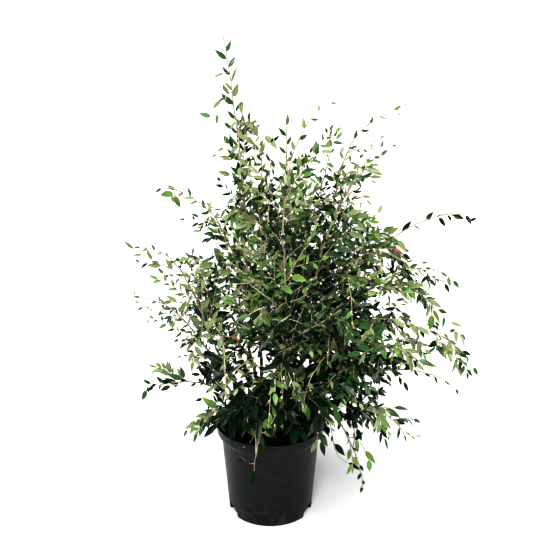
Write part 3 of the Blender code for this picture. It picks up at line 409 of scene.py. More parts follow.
# The placed sprays of each mass, as the numbers of a Spray
SPRAYS = {
    "top_leader": (
        (0, 0.88, -174, 0.158, 1.037, 43, 8, 5, 0.84, "pale"),
        (1, 0.82, -163, 0.143, 0.952, 1, 8, 4, 0.67, "green"),
        (2, 0.57, -165, 0.075, 1.046, 27, -34, 2, 1.18, "pale"),
        (3, 0.61, -155, 0.113, 0.959, 66, 42, 2, 1, "green", 0.05, 0.1),
        (4, 0.55, -129, 0.086, 0.914, 13, -9, 5, 0.87, "pale", 0.4, 0.1),
        (5, 0.56, -143, 0.047, 1.042, 64, 53, 12, 0.8, "dark", 0.2, 0.1),
        (6, 0.69, -110, 0.095, 0.901, 62, 86, 8, 1.1, "pale", 0, 0.1),
        (7, 0.43, -133, 0.094, 0.873, -9, -15, 7, 0.87, "pale", 0.2, 0.1),
        (8, 0.4, -109, 0.06, 0.911, 43, 80, 5, 1.15, "pale", 0.4, 0.1),
        (27, 0.22, -176, 0.195, 0.858, 45, 42, 4, 0.93, "pale", 0.2, 0.1),
        (29, 0.41, -139, 0.135, 0.799, 35, -21, 11, 1.09, "pale", 0.5, 0.1),
        (30, 0.49, -163, 0.14, 0.804, -14, -7, 2, 0.77, "pale", 0.1),
        (84, 0.68, -99, 0.126, 1.032, 72, -4, 10, 0.72, "pale", 0, 0.2),
        (85, 0.54, -113, 0.054, 0.993, 25, 77, 7, 0.71, "fresh", 0, 0.2),
        (100, 0.74, -126, 0.108, 0.915, -7, -51, 5, 0.77, "pale", 0, 0.2),
    ),
    "top_middle": (
        (17, 0.55, -30, 0.126, 0.961, 50, 39, 7, 0.86, "green", 0, 0.1),
        (18, 0.52, -62, 0.154, 0.92, 88, 51, 5, 1.31, "fresh", 0, 0.1),
    ),
    "top_arch": (
        (14, 0.58, -25, 0.18, 1.033, 88, 36, 9, 0.96, "pale", 0, 0.2),
        (15, 0.69, -26, 0.154, 1.034, 57, 67, 13, 0.64, "dark", 0.2, 0.5),
        (16, 0.57, -45, 0.23, 1.033, 82, 36, 14, 0.81, "green", 0.2, 0.3),
        (101, 0.12, -86, 0.27, 0.554, -2, 38, 7, 1.6, "deep"),
        (150, 0.43, -75, 0.178, 0.705, 40, -50, 5, 0.94, "pale", 0.3, 0.9),
    ),
    "top_back": (
        (19, 0.56, 9, 0.22, 0.903, 47, 44, 3, 1.6, "dark", 0.2, 0.2),
        (20, 0.76, 58, 0.145, 0.898, 66, 64, 4, 0.83, "dark", 0.6),
    ),
    "top_right": (
        (21, 0.71, 7, 0.247, 0.976, 88, 88, 2, 0.45, "green", 0, 0.4),
        (22, 0.72, -2, 0.292, 0.967, 31, 22, 2, 0.49, "green", 0.2, 0.3),
        (23, 0.59, -8, 0.245, 0.929, 71, 71, 6, 0.86, "green", 0.2, 0.5),
        (125, 0.54, 23, 0.033, 0.697, 50, -44, 2, 1.29, "dark", 0.4),
    ),
    "left_middle": (
        (33, 0.63, -178, 0.346, 0.727, 13, 36, 5, 0.95, "pale", 0, 0.1),
        (34, 0.43, -179, 0.29, 0.638, 16, 18, 9, 0.72, "pale"),
        (35, 0.43, -171, 0.216, 0.685, 42, -11, 11, 1.01, "pale", 0.3, 0.1),
        (39, 0.48, -145, 0.284, 0.58, -52, 10, 5, 0.53, "fresh", 0.6, 0.2),
        (40, 0.29, -148, 0.196, 0.677, 75, -52, 5, 0.86, "pale", 0.2),
        (90, 0.16, -155, 0.18, 0.683, 29, 25, 7, 0.74, "dark", 0.3, 0.1),
        (91, 0.18, -143, 0.119, 0.727, 88, 59, 14, 1.07, "green", 0, 0.1),
        (95, 0.34, -176, 0.179, 0.625, 77, 13, 9, 1.15, "dark", 0.1, 0.1),
        (103, 0.15, 162, 0.163, 0.596, 40, 58, 5, 1.6, "deep", 0.6, 0.1),
    ),
    "front_left": (
        (41, 0.79, -125, 0.236, 0.574, 30, -90, 5, 1.01, "pale", 0.3, 0.2),
        (42, 0.43, -148, 0.183, 0.455, 28, -15, 6, 1.39, "deep", 0.3),
        (108, 0.47, -129, 0.213, 0.524, 85, -18, 2, 1.3, "green"),
        (134, 0.22, -104, 0.207, 0.51, 66, 43, 5, 0.63, "pale", 0.5, 0.2),
        (162, 0.68, -117, 0.224, 0.408, 12, -72, 6, 0.6, "pale", 0.25, 0.8),
    ),
    "front_right": (
        (79, 0.43, -73, 0.254, 0.397, -1, -71, 6, 0.88, "pale", 0.6, 0.6),
        (97, 0.85, -47, 0.274, 0.546, -34, -69, 10, 1.1, "green", 0.1, 0.2),
        (120, 0.62, -39, 0.264, 0.452, -32, -9, 8, 0.83, "pale", 0.1, 0.2),
        (126, 0.58, -55, 0.229, 0.478, 46, -17, 5, 0.63, "green", 0.5, 0.2),
        (143, 0.76, -20, 0.225, 0.649, -45, 67, 7, 1.02, "dark", 0.2, 0.5),
        (158, 0.81, -25, 0.29, 0.603, 7, -8, 7, 0.85, "deep", 0.1, 0.2),
    ),
    "right_high": (
        (24, 0.67, -8, 0.265, 0.982, 81, 53, 6, 0.58, "dark", 0.25, 0.4),
        (25, 0.89, -20, 0.269, 0.932, 42, -3, 2, 1.03, "pale", 0.5, 0.3),
        (26, 0.66, -34, 0.289, 0.925, 55, 10, 5, 0.69, "dark", 0.1, 0.2),
        (49, 0.39, -18, 0.232, 0.805, 80, 41, 5, 0.81, "deep", 0, 0.1),
        (50, 0.51, -21, 0.234, 0.806, 35, 28, 8, 1.29, "green", 0.4, 0.1),
        (86, 0.68, -4, 0.313, 1.068, 61, 44, 10, 0.45, "fresh", 0, 0.4),
        (87, 0.72, -17, 0.267, 0.794, -25, -21, 8, 1.1, "pale", 0, 0.1),
        (114, 0.3, -55, 0.137, 0.814, 57, 84, 6, 1.01, "dark", 0.2, 0.1),
        (151, 0.74, -48, 0.162, 0.876, 70, 40, 7, 0.85, "dark", 0, 0.5),
        (159, 0.32, -84, 0.251, 0.423, 12, -72, 7, 0.62, "fresh", 0.25, 0.9),
    ),
    "right_level": (
        (51, 0.29, -7, 0.328, 0.719, 42, -42, 10, 1.27, "pale", 0.3, 0.2),
        (52, 0.38, -6, 0.292, 0.696, 18, -68, 6, 0.77, "pale", 0.1, 0.2),
        (88, 0.3, -12, 0.296, 0.775, 35, 16, 12, 1.13, "green", 0, 0.2),
        (89, 0.22, -17, 0.285, 0.762, 50, -15, 12, 0.81, "pale", 0.3, 0.2),
        (145, 0.86, -2, 0.493, 0.786, 59, 10, 2, 0.77, "deep", 0, 0.5),
        (156, 0.55, -5, 0.328, 0.653, 41, -67, 9, 0.96, "pale", 0.5, 0.2),
    ),
    "right_upper": (
        (140, 0.76, -23, 0.205, 0.707, 7, 49, 6, 0.52, "pale", 0, 0.9),
        (141, 0.73, -12, 0.101, 0.692, -30, 70, 6, 0.93, "fresh", 0.2, 0.9),
        (147, 0.92, -21, 0.28, 0.687, 87, -2, 10, 0.5, "pale", 0.5, 0.9),
        (148, 0.88, -17, 0.379, 0.72, 11, 29, 3, 0.52, "green"),
        (163, 0.6, -50, 0.288, 0.594, 12, -72, 6, 0.62, "fresh", 0.25, 0.9),
    ),
    "right_arch": (
        (53, 0.74, -5, 0.345, 0.63, -6, -29, 4, 0.89, "dark", 0.2, 0.1),
        (54, 0.55, -12, 0.477, 0.505, 12, -49, 12, 0.95, "green", 0.2, 0.3),
        (55, 0.41, -23, 0.363, 0.629, 48, -26, 13, 0.97, "pale", 0, 0.3),
        (57, 0.61, -11, 0.394, 0.536, -22, -88, 9, 1.24, "pale", 0.4, 0.2),
        (142, 0.69, -29, 0.263, 0.632, 34, -15, 5, 0.99, "pale", 0, 0.5),
    ),
    "right_long": (
        (56, 0.46, -30, 0.389, 0.526, 27, -100, 8, 1.2, "pale", 0.2, 0.3),
        (58, 0.85, -15, 0.493, 0.42, -55, -68, 7, 0.79, "dark", 0.3, 0.1),
        (59, 0.79, -14, 0.47, 0.419, 14, -79, 4, 1.36, "pale", 0.6, 0.1),
        (60, 0.78, -16, 0.43, 0.494, -25, 6, 7, 1.17, "dark", 0, 0.1),
    ),
    "right_middle": (
        (61, 0.81, -31, 0.413, 0.485, 75, -41, 4, 1.18, "pale", 0.2, 0.1),
        (62, 0.91, -28, 0.44, 0.509, 36, 4, 3, 1.22, "green", 0.1, 0.1),
        (106, 0.75, -52, 0.294, 0.54, 76, 11, 5, 1.15, "green", 0.5),
        (111, 0.45, -43, 0.267, 0.421, -12, -96, 6, 0.92, "green", 0.5, 0.1),
        (117, 0.64, -41, 0.289, 0.55, 78, -47, 11, 1.15, "green", 0.1, 0.1),
        (122, 0.61, -37, 0.133, 0.493, 74, 5, 6, 0.99, "pale", 0.6, 0.1),
    ),
    "right_low": (
        (63, 0.48, -26, 0.363, 0.413, 35, -53, 4, 0.79, "dark", 0.4, 0.1),
        (64, 0.41, -22, 0.341, 0.431, 57, -56, 5, 1.6, "deep", 0.6, 0.1),
        (104, 0.4, -33, 0.285, 0.35, -10, -72, 5, 1.06, "deep", 0.4, 0.1),
        (138, 0.41, -62, 0.267, 0.432, 39, -59, 7, 0.81, "green", 0.1, 0.2),
    ),
    "right_lowest": (
        (65, 0.44, -24, 0.319, 0.259, 38, -81, 11, 0.53, "deep", 0.4, 0.1),
        (66, 0.65, -36, 0.319, 0.306, 24, -100, 11, 1.22, "pale"),
        (67, 0.52, -26, 0.294, 0.308, -17, -11, 9, 0.75, "deep", 0.6, 0.1),
        (99, 0.41, -37, 0.293, 0.417, -29, 79, 5, 1.1, "dark", 0.4, 0.2),
        (113, 0.69, -22, 0.359, 0.346, 19, -6, 2, 1.25, "green", 0.1, 0.4),
        (123, 0.87, -33, 0.41, 0.371, 52, 26, 7, 0.73, "green", 0.6),
        (137, 0.68, -17, 0.29, 0.412, -32, 10, 5, 0.66, "deep", 0.6, 0.9),
        (153, 0.69, -24, 0.397, 0.294, 53, 17, 8, 0.5, "fresh", 0.5, 0.2),
    ),
    "right_hanging": (
        (68, 0.65, -15, 0.27, 0.136, 20, -69, 3, 1.32, "fresh", 0.6, 0.2),
        (69, 0.67, -27, 0.228, 0.144, -45, -100, 4, 0.98, "fresh", 0.4),
        (70, 0.27, -20, 0.254, 0.16, 7, -2, 3, 1.6, "deep", 0.1),
        (71, 0.24, -39, 0.162, 0.195, -33, -82, 4, 1.6, "deep", 0.5),
        (72, 0.36, -42, 0.205, 0.262, 0, -56, 5, 0.5, "dark"),
        (130, 0.72, -31, 0.255, 0.31, 49, 10, 3, 0.85, "deep", 0, 0.1),
    ),
    "upper_left": (
        (28, 0.61, -177, 0.175, 0.764, 38, -25, 7, 0.5, "dark", 0.6, 0.1),
        (31, 0.32, -171, 0.159, 0.792, 28, 10, 9, 0.5, "pale", 0.6),
        (32, 0.24, 177, 0.335, 0.671, 68, 5, 11, 0.64, "deep", 0.2, 0.1),
        (92, 0.23, -155, 0.186, 0.703, 48, 12, 4, 1.6, "pale", 0.3, 0.1),
        (112, 0.33, -128, 0.095, 0.581, -45, -26, 2, 1.2, "pale", 0.2, 0.2),
        (118, 0.21, -114, 0.106, 0.75, 80, -8, 6, 1.18, "pale"),
        (119, 0.92, 167, 0.261, 0.819, -19, -20, 5, 1.21, "fresh", 0, 0.4),
    ),
    "left_low_arch": (
        (36, 0.62, 179, 0.334, 0.6, 31, 76, 5, 0.45, "green", 0, 0.1),
        (37, 0.64, -165, 0.264, 0.591, 30, -10, 3, 0.94, "pale", 0.1, 0.1),
        (38, 0.54, -158, 0.319, 0.573, -30, 2, 10, 0.61, "green", 0.3, 0.1),
        (93, 0.45, -144, 0.177, 0.644, 11, -43, 7, 1.16, "pale", 0.2, 0.1),
        (94, 0.34, -129, 0.14, 0.627, 78, 10, 8, 1.05, "pale", 0.5, 0.1),
        (109, 0.48, -144, 0.225, 0.444, 39, -48, 7, 1.02, "pale", 0, 0.2),
    ),
    "left_low": (
        (43, 0.31, -149, 0.196, 0.404, 21, -32, 7, 1.6, "deep", 0.4),
        (44, 0.22, -135, 0.206, 0.397, 11, -29, 5, 0.62, "pale", 0.3),
        (46, 0.61, -169, 0.248, 0.411, 76, 41, 3, 1.39, "green"),
        (47, 0.75, -174, 0.304, 0.413, 61, 7, 11, 0.89, "pale", 0.1),
        (48, 0.67, -178, 0.312, 0.311, -55, -85, 7, 0.95, "dark"),
    ),
    "left_lowest": (
        (45, 0.39, -145, 0.159, 0.405, 74, 77, 8, 0.7, "dark"),
        (107, 0.41, -111, 0.095, 0.261, 63, 1, 8, 1.6, "deep", 0.5, 0.2),
        (121, 0.55, 171, 0.145, 0.242, 44, -69, 10, 0.74, "fresh", 0.6, 0.2),
        (135, 0.56, -140, 0.247, 0.295, 76, 0, 8, 0.91, "pale", 0.2),
        (155, 0.46, -160, 0.226, 0.251, 53, -42, 6, 1.17, "fresh", 0.1),
    ),
    "front_top": (
        (9, 0.62, -126, 0.071, 1.032, 81, 78, 15, 0.55, "dark", 0, 0.5),
        (10, 0.52, -89, 0.127, 1.013, 61, 88, 8, 0.5, "dark", 0.2, 0.6),
        (11, 0.77, -81, 0.094, 1.009, 29, 5, 5, 1.3, "pale", 0.45, 0.2),
        (12, 0.79, -78, 0.072, 1.013, 46, 72, 3, 0.86, "dark", 0, 0.2),
        (13, 0.43, -91, 0.108, 0.885, 88, 88, 8, 0.59, "deep", 0, 0.6),
        (96, 0.69, -122, 0.136, 0.83, 47, 39, 8, 1.04, "pale", 0, 0.1),
        (110, 0.43, -96, 0.201, 0.586, 22, -11, 9, 1.24, "pale", 0.1, 0.4),
        (127, 0.35, -164, 0.117, 0.6, 78, 10, 6, 0.97, "pale", 0.5, 0.2),
        (129, 0.62, 9, 0.017, 0.86, 47, -21, 9, 0.87, "dark", 0.5, 0.1),
        (139, 0.41, -108, 0.106, 0.584, 52, -100, 5, 1.36, "fresh", 0.6, 0.9),
    ),
    "front_bright": (
        (73, 0.81, -80, 0.284, 0.799, 39, 85, 4, 1.18, "fresh", 0.4, 0.1),
        (74, 0.79, -90, 0.292, 0.693, 60, 68, 6, 1.05, "deep", 0, 0.1),
        (75, 0.62, -70, 0.255, 0.723, 78, 78, 5, 0.86, "green", 0, 0.1),
        (76, 0.58, -75, 0.283, 0.649, 51, 75, 5, 1.05, "deep", 0, 0.1),
        (98, 0.28, -75, 0.277, 0.45, 64, -6, 8, 0.9, "green", 0, 0.1),
        (105, 0.46, -91, 0.266, 0.567, 29, -53, 5, 1.05, "deep", 0, 0.4),
        (116, 0.2, -88, 0.276, 0.44, -10, -36, 6, 0.88, "fresh", 0, 0.1),
        (132, 0.62, -106, 0.248, 0.595, 53, -59, 4, 1.08, "dark", 0.5, 0.1),
        (154, 0.12, -121, 0.214, 0.512, 7, 16, 4, 0.68, "pale"),
        (160, 0.3, -91, 0.24, 0.351, 12, -72, 7, 0.6, "fresh", 0.25, 0.9),
        (161, 0.3, -82, 0.222, 0.387, 12, -72, 6, 0.6, "pale", 0.25, 0.9),
    ),
    "front_low": (
        (77, 0.51, -67, 0.278, 0.356, -7, -100, 8, 1.58, "deep", 0.6, 0.1),
        (81, 0.17, -70, 0.206, 0.29, 16, -48, 11, 1.6, "deep", 0.6),
        (128, 0.52, -54, 0.129, 0.458, 23, 9, 7, 1.26, "green", 0.5, 0.2),
        (136, 0.75, -63, 0.114, 0.453, -15, 11, 6, 1.04, "pale", 0.3, 0.5),
        (144, 0.66, -76, 0.316, 0.439, 2, 3, 4, 0.59, "fresh", 0.6, 0.9),
    ),
    "front_hanging": (
        (83, 0.59, -84, 0.231, 0.349, 2, -80, 10, 0.94, "fresh", 0.2, 0.9),
        (115, 0.81, -115, 0.102, 0.267, 75, -49, 5, 1, "pale", 0.1, 0.1),
        (131, 0.91, -109, 0.255, 0.286, -7, 34, 3, 0.71, "deep", 0.3),
        (133, 0.14, -122, 0.158, 0.244, 44, 18, 5, 0.62, "dark", 0.3, 0.2),
    ),
    "front_low_left": (
        (80, 0.35, -107, 0.207, 0.346, 88, -88, 10, 1.6, "deep", 0.2),
        (82, 0.05, -109, 0.18, 0.303, -31, -36, 5, 1.6, "dark", 0.4),
        (102, 0.32, -129, 0.226, 0.458, 51, 50, 7, 0.86, "pale", 0.6),
        (146, 0.41, -98, 0.206, 0.462, 28, 30, 6, 0.59, "green", 0, 0.9),
        (149, 0.86, -93, 0.176, 0.426, 5, 45, 3, 1.15, "dark", 0, 0.9),
    ),
    "low_middle": (
        (152, 0.28, -106, 0.108, 0.354, -35, -27, 3, 1.04, "pale", 0.1),
        (157, 0.15, 76, 0.071, 0.464, 60, 79, 4, 0.65, "fresh", 0.5),
    ),
    "low_middle_right": (
        (78, 0.52, -56, 0.202, 0.24, 32, -100, 7, 1.6, "green", 0.3, 0.6),
    ),
    "back_middle": (
        (124, 0.72, 99, 0.305, 0.77, 3, 13, 7, 1.6, "green"),
    ),
}

SIDES = ("top", "front", "right", "left", "back")

# The leaf colours, in the order of the leaf pieces' material slots
TINTS = ("deep", "dark", "green", "pale", "fresh", "rust")
TINT_GLOSS = (0.30, 0.31, 0.33, 0.40, 0.42, 0.50)   # their roughness
UNDERSIDE_GLOSS = 0.55
YOUNG_UNDERSIDE = 1.9           # brightness of young leaves' undersides, against grown ones'


# --------------------------------------------------------------- points and paths

def polar(azimuth, reach, height):
    angle = math.radians(azimuth)
    return np.array([reach * math.cos(angle), reach * math.sin(angle), height])


def unit(vector):
    """Vectors at length 1, along the last axis of an array."""
    return vector / np.linalg.norm(vector, axis=-1, keepdims=True)


def heading(azimuth, pitch):
    """The direction at an azimuth, so many degrees above level."""
    return unit(polar(azimuth, math.cos(math.radians(pitch)), math.sin(math.radians(pitch))))


def azimuth_of(vector):
    return math.degrees(math.atan2(vector[1], vector[0]))


class Path:
    """A cubic curve from one point and direction to another."""

    def __init__(self, start, start_direction, end, end_direction):
        reach = np.linalg.norm(end - start) * PULL
        self.points = (start, start + reach * start_direction, end - reach * end_direction, end)

    def at(self, share):
        t = np.atleast_1d(share)[:, None]
        p = self.points
        s = 1 - t
        return s ** 3 * p[0] + 3 * s * s * t * p[1] + 3 * s * t * t * p[2] + t ** 3 * p[3]

    def along(self, share):
        t = np.atleast_1d(share)[:, None]
        p = self.points
        s = 1 - t
        return unit(s * s * (p[1] - p[0]) + 2 * s * t * (p[2] - p[1]) + t * t * (p[3] - p[2]))

    def length(self, start=0.0, end=1.0):
        points = self.at(np.linspace(start, end, LENGTH_POINTS))
        return float(np.linalg.norm(np.diff(points, axis=0), axis=1).sum())


def side_frame(direction):
    """A level side vector and the upward one, both square to a direction."""
    side = np.array([direction[1], -direction[0], 0.0])
    if np.linalg.norm(side) < UPRIGHT:
        side = np.array([1.0, 0.0, 0.0])
    side = unit(side)
    return side, np.cross(side, direction)


def stem_path(stem):
    foot = polar(stem.foot_azimuth, stem.foot_reach, SOIL_TOP)
    top = polar(stem.azimuth, stem.reach, stem.height)
    lean = azimuth_of(top - foot)
    tilt = math.degrees(math.atan2(top[2] - foot[2], np.hypot(*(top - foot)[:2])))
    return Path(foot, heading(lean, STEM_RISE), top, heading(lean, tilt - STEM_BEND))


def stem_radius(stem, share):
    """Tapers evenly to the tip, with a flare over the first few centimetres."""
    flare = 1 + FLARE * np.exp(-share * stem_path(stem).length() / FLARE_HEIGHT)
    return (stem.radius + (STEM_TIP_RADIUS - stem.radius) * share) * flare


def mass_path(mass):
    """The curve of a mass with its bough, from its stem to its tip."""
    stem = next(s for s in STEMS if s.name == mass.stem)
    trunk = stem_path(stem)
    point = trunk.at(mass.fork)[0]
    grain = trunk.along(mass.fork)[0]
    tip = polar(mass.azimuth, mass.reach, mass.height)
    lean = azimuth_of(tip - point)
    tip = tip - heading(lean, mass.fall) * (MODEL_LEAF - LEAF_SINK) + TIP_SHIFT.get(mass.name, 0.0)
    start = grain if mass.fork >= 1 else heading(lean, mass.rise)
    return Path(point, start, tip, heading(lean, mass.fall))


def limb_radius(mass, share):
    """One even taper from a bough's foot to its shoot's tip."""
    foot = STEM_TIP_RADIUS if mass.fork >= 1 else BOUGH_FOOT_RADIUS
    return foot + (SHOOT_TIP_RADIUS - foot) * np.atleast_1d(share) ** LIMB_TAPER


# --------------------------------------------------------------- growth

class Limb(NamedTuple):
    """A shoot, twig or twiglet, from a share of its path to the path's end."""
    path: Path
    start: float
    foot_radius: float
    tip_radius: float
    order: int
    kind: int                   # of its bark


class Crown:
    """What has grown: limbs, leaves and buds, by side."""

    def __init__(self):
        self.limbs = {side: [] for side in SIDES}
        self.leaves = {side: [] for side in SIDES}
        self.buds = []

    def add_limb(self, look, path, start, foot, tip, order):
        """A shoot, twig or twiglet. Its bark is the shoots', young twigs' (a paler copy, painted light, on
        the front side) or old twigs' (darker, partly painted shade).
        """
        kind = 0 if order == 0 else 1 if look.deep < OLD_WOOD_AND_SHADE else 2
        self.limbs[look.side].append(Limb(path, start, foot, tip, order, kind))

    def add_leaf(self, side, root, direction, face, length, tint, rng):
        """A leaf, where it stays clear of the pot and within the model's box."""
        tip = root + direction * length
        if outside(tip) or in_pot(np.vstack([tip, (tip + root) / 2])):
            return
        form = (rng.uniform(*LEAF_SLENDER), rng.uniform(*LEAF_CURL), rng.uniform(-LEAF_TWIST, LEAF_TWIST))
        self.leaves[side].append((*root, *direction, *face, length, *form, TINTS.index(tint)))


def outside(point):
    """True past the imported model's own box."""
    low, high = CAD_BOX
    return bool(np.any(point < np.array(low)) or np.any(point > np.array(high)))


def in_pot(points):
    """True if any of the points is in the pot's wall or in the compost."""
    reach = np.hypot(points[:, 0], points[:, 1])
    height = points[:, 2]
    over_wall = (reach > RIM_RADIUS - LIP_WIDTH) & (reach < RIM_RADIUS + CLEARANCE)
    wall = over_wall & (height < POT_HEIGHT + CLEARANCE)
    body = (reach < wall_radius(height) + CLEARANCE) & (height < SOIL_TOP + SOIL_CLEARANCE)
    return bool(np.any(wall | body))


def leaf_direction(axis, share, turn, spread, hang):
    """Where a leaf or twig leaving an axis points, at a turn about it."""
    grain = axis.along(share)[0]
    side, up = side_frame(grain)
    angle = math.radians(turn)
    outward = math.cos(angle) * side + math.sin(angle) * up
    direction = math.cos(math.radians(spread)) * grain + math.sin(math.radians(spread)) * outward
    return unit(direction - np.array([0.0, 0.0, hang]))


def front_rank(grain):
    """The turn about an axis at which its leaves stand out square to the front view."""
    side, up = side_frame(grain)
    outward = np.cross(grain, FRONT)
    return math.degrees(math.atan2(np.dot(outward, up), np.dot(outward, side)))


def leaf_face(point, direction, rng, front):
    """The way a leaf's upper side looks: up, outwards and to the front, with some roll."""
    outward = unit(np.array([*(point[:2] - CROWN_MIDDLE), 0.0]))
    face = outward * LEAF_OUTLOOK + np.array([0.0, -front, LEAF_UPLOOK])
    face = unit(face - direction * np.dot(face, direction))
    roll = math.radians(rng.uniform(-LEAF_ROLL, LEAF_ROLL))
    return math.cos(roll) * face + math.sin(roll) * np.cross(direction, face)


def pick_tint(look, outer, rng):
    """The colour of a spray: new growth is likelier far out, and the darkest green, partly painted shade,
    deep in the crown.
    """
    draw = rng.random()
    young = look.young * YOUNG_OUTSIDE * outer ** YOUNG_POWER
    if draw < young:
        return "fresh" if rng.random() < FRESH_SHARE else "pale"
    if draw < young + look.deep * (DEEP_INSIDE - DEEP_FALL * outer):
        return "deep"
    return "green" if rng.random() < GREEN_INSIDE + GREEN_RISE * outer else "dark"


def paler(tint):
    """The next paler green, as far as fresh."""
    return TINTS[min(TINTS.index(tint) + 1, TINTS.index("fresh"))]


def clothe(crown, look, axis, start, spacing, size, tint, rng, flat=False):
    """Leaves in two ranks along an axis, and one at its tip.

    Flat ones stand out square to the front view and look more to the front.
    """
    front, spreads = (SHOOT_FRONT, SHOOT_SPREAD) if flat else (TWIG_FRONT, LEAF_SPREAD)
    length = axis.length(start, 1.0)
    count = max(int((length - LEAF_FOOT) / spacing), 0)
    base = rng.uniform(0, 360)
    for k in range(count + 1):
        last = k == count
        along = 1.0 if last else (LEAF_FOOT + (k + LEAF_START) * spacing) / length
        share = start + (1 - start) * min(along, 1.0)
        first = front_rank(axis.along(share)[0]) if flat else base
        turn = first + 180.0 * k + rng.uniform(-LEAF_JITTER, LEAF_JITTER)
        spread = LEAF_TIP_SPREAD * rng.uniform(*TIP_SPREADS) if last else rng.uniform(*spreads)
        hang = look.hang * rng.uniform(*HANG_VARIETY)
        direction = leaf_direction(axis, share, turn, spread, hang)
        point = axis.at(share)[0]
        leaf_length = size * rng.uniform(*LEAF_VARIETY) * (1.0 - LEAF_SHRINK * along)
        colour = paler(tint) if along > PALER_FROM and rng.random() < PALER_CHANCE else tint
        if rng.random() < look.rust:
            colour = "rust"
        face = leaf_face(point, direction, rng, front)
        crown.add_leaf(look.side, point, direction, face, leaf_length, colour, rng)
        if rng.random() < look.buds and not in_pot(point[None]):
            way = unit(direction + axis.along(share)[0])
            crown.buds.append((*point, *way, rng.uniform(*BUD_VARIETY)))


def grow_twig(mass, look, path, k, count, rng):
    """Twig k of a mass: how far along its shoot it leaves, and its curve."""
    along = ((k + rng.uniform(*TWIG_PLACE)) / count) ** TWIG_CROWDING
    share = mass.bough + (1 - mass.bough) * (TWIG_FIRST + (1 - look.bare - TWIG_FIRST) * along)
    grain = path.along(share)[0]
    steep = abs(grain[2]) > STEEP
    roll = TWIG_SPIRAL * k if steep else 180.0 * k + rng.uniform(-TWIG_ROLL, TWIG_ROLL)
    length = mass.twig * (TWIG_LONGEST - TWIG_SHRINK * along) * rng.uniform(*TWIG_VARIETY)
    return along, side_shoot(path, share, roll, length, look.hang, TWIG_SPREAD, rng)


def side_shoot(axis, share, roll, length, hang, spreads, rng):
    """A curve that leaves an axis at a roll about it and bends along it and down."""
    foot = axis.at(share)[0]
    start = leaf_direction(axis, share, roll, rng.uniform(*spreads), 0.0)
    sag = rng.uniform(*TWIG_SAG) + HANGING_SAG * hang
    end_direction = unit(start + axis.along(share)[0] * TWIG_FOLLOW - np.array([0.0, 0.0, sag]))
    aim = unit(start + TWIG_AIM * end_direction)
    return Path(foot, start, foot + aim * length, end_direction)


def grow_mass(crown, mass, settings):
    """A shoot with its leaves, twigs along it, and finer twigs along those."""
    look = LOOKS[mass.name]
    rng = random.Random(mass.name + str(look.seed))
    path = mass_path(mass)
    size = settings.leaf_length * look.leaf
    length = path.length(mass.bough, 1.0)
    crown.add_limb(look, path, mass.bough, limb_radius(mass, mass.bough)[0], SHOOT_TIP_RADIUS, 0)
    clothe(crown, look, path, mass.bough, look.spacing, size, look.own, rng, True)
    count = round(length * look.twigs * settings.density)
    for k in range(count):
        outer, twig = grow_twig(mass, look, path, k, count, rng)
        if in_pot(twig.at(TWIG_CLEAR)):
            continue
        tint = pick_tint(look, outer, rng)
        crown.add_limb(look, twig, 0.0, TWIG_FOOT_RADIUS, TWIG_TIP_RADIUS, 1)
        spacing = settings.leaf_spacing * rng.uniform(*SPACING_VARIETY)
        clothe(crown, look, twig, 0.0, spacing, size, tint, rng)
        grow_twiglets(crown, look, twig, size, tint, settings, rng)


def grow_spray(crown, mass, spray, settings):
    """A placed spray, with its leaves above and below its twig."""
    size = settings.leaf_length * spray.leaf
    foot = mass_path(mass).at(spray.share)[0]
    tip = polar(spray.azimuth, spray.reach, spray.height)
    lean = azimuth_of(tip - foot)
    fall = heading(lean, spray.fall)
    twig = Path(foot, heading(lean, spray.rise), tip - fall * size * SPRAY_LAST_LEAF, fall)
    # Dark sprays take the old, darker bark, which is partly painted shade.
    old_bark_and_shade = OLD_WOOD_AND_SHADE if spray.tint == "deep" else 0.0
    look = LOOKS[mass.name]._replace(hang=spray.hang, buds=spray.buds, rust=0.0, deep=old_bark_and_shade)
    crown.add_limb(look, twig, 0.0, TWIG_FOOT_RADIUS * SPRAY_FOOT, TWIG_TIP_RADIUS, 1)
    spacing = (twig.length() - LEAF_FOOT) / max(spray.leaves - 1, 1)
    clothe(crown, look, twig, 0.0, spacing, size, spray.tint, random.Random(spray.number), True)


def grow_twiglets(crown, look, twig, size, tint, settings, rng):
    """Finer twigs on alternate sides of a twig."""
    length = twig.length()
    for k in range(int(length / TWIGLET_SPACING)):
        share = min((k + rng.uniform(*TWIGLET_PLACE)) * TWIGLET_SPACING / length, TWIGLET_LAST)
        reach = length * rng.uniform(*TWIGLET_SHARE) * (TWIGLET_LONGEST - TWIGLET_SHRINK * share)
        reach = max(reach, TWIGLET_SHORTEST)
        roll = 180.0 * k + rng.uniform(-TWIGLET_ROLL, TWIGLET_ROLL)
        twiglet = side_shoot(twig, share, roll, reach, look.hang, TWIG_SPREAD, rng)
        if in_pot(twiglet.at(TWIGLET_CLEAR)):
            continue
        crown.add_limb(look, twiglet, 0.0, TWIGLET_FOOT_RADIUS, TWIGLET_TIP_RADIUS, 2)
        own = pick_tint(look, (1 + share) / 2, rng) if rng.random() < TWIGLET_TINT else tint
        clothe(crown, look, twiglet, 0.0, settings.leaf_spacing, size * TWIGLET_LEAF, own, rng)


class Growth(NamedTuple):
    """The sizes that the crown grows by."""
    leaf_length: float
    leaf_spacing: float
    density: float


@functools.lru_cache(maxsize=2)
def grow_crown(growth):
    """Every mass and then every placed spray, grown once for each set of sizes."""
    crown = Crown()
    for mass in MASSES:
        grow_mass(crown, mass, growth)
    placed = [(Spray(*row), mass) for mass in MASSES for row in SPRAYS.get(mass.name, ())]
    for spray, mass in sorted(placed):
        grow_spray(crown, mass, spray, growth)
    return crown


def crown_of(context):
    foliage = context.scene.camellia_foliage
    return grow_crown(Growth(foliage.leaf_length, foliage.leaf_spacing, foliage.density))


# --------------------------------------------------------------- meshes from arrays

def put(name, data):
    """A new object of the scene, at the origin."""
    piece = bpy.data.objects.new(name, data)
    bpy.context.scene.collection.objects.link(piece)
    return piece


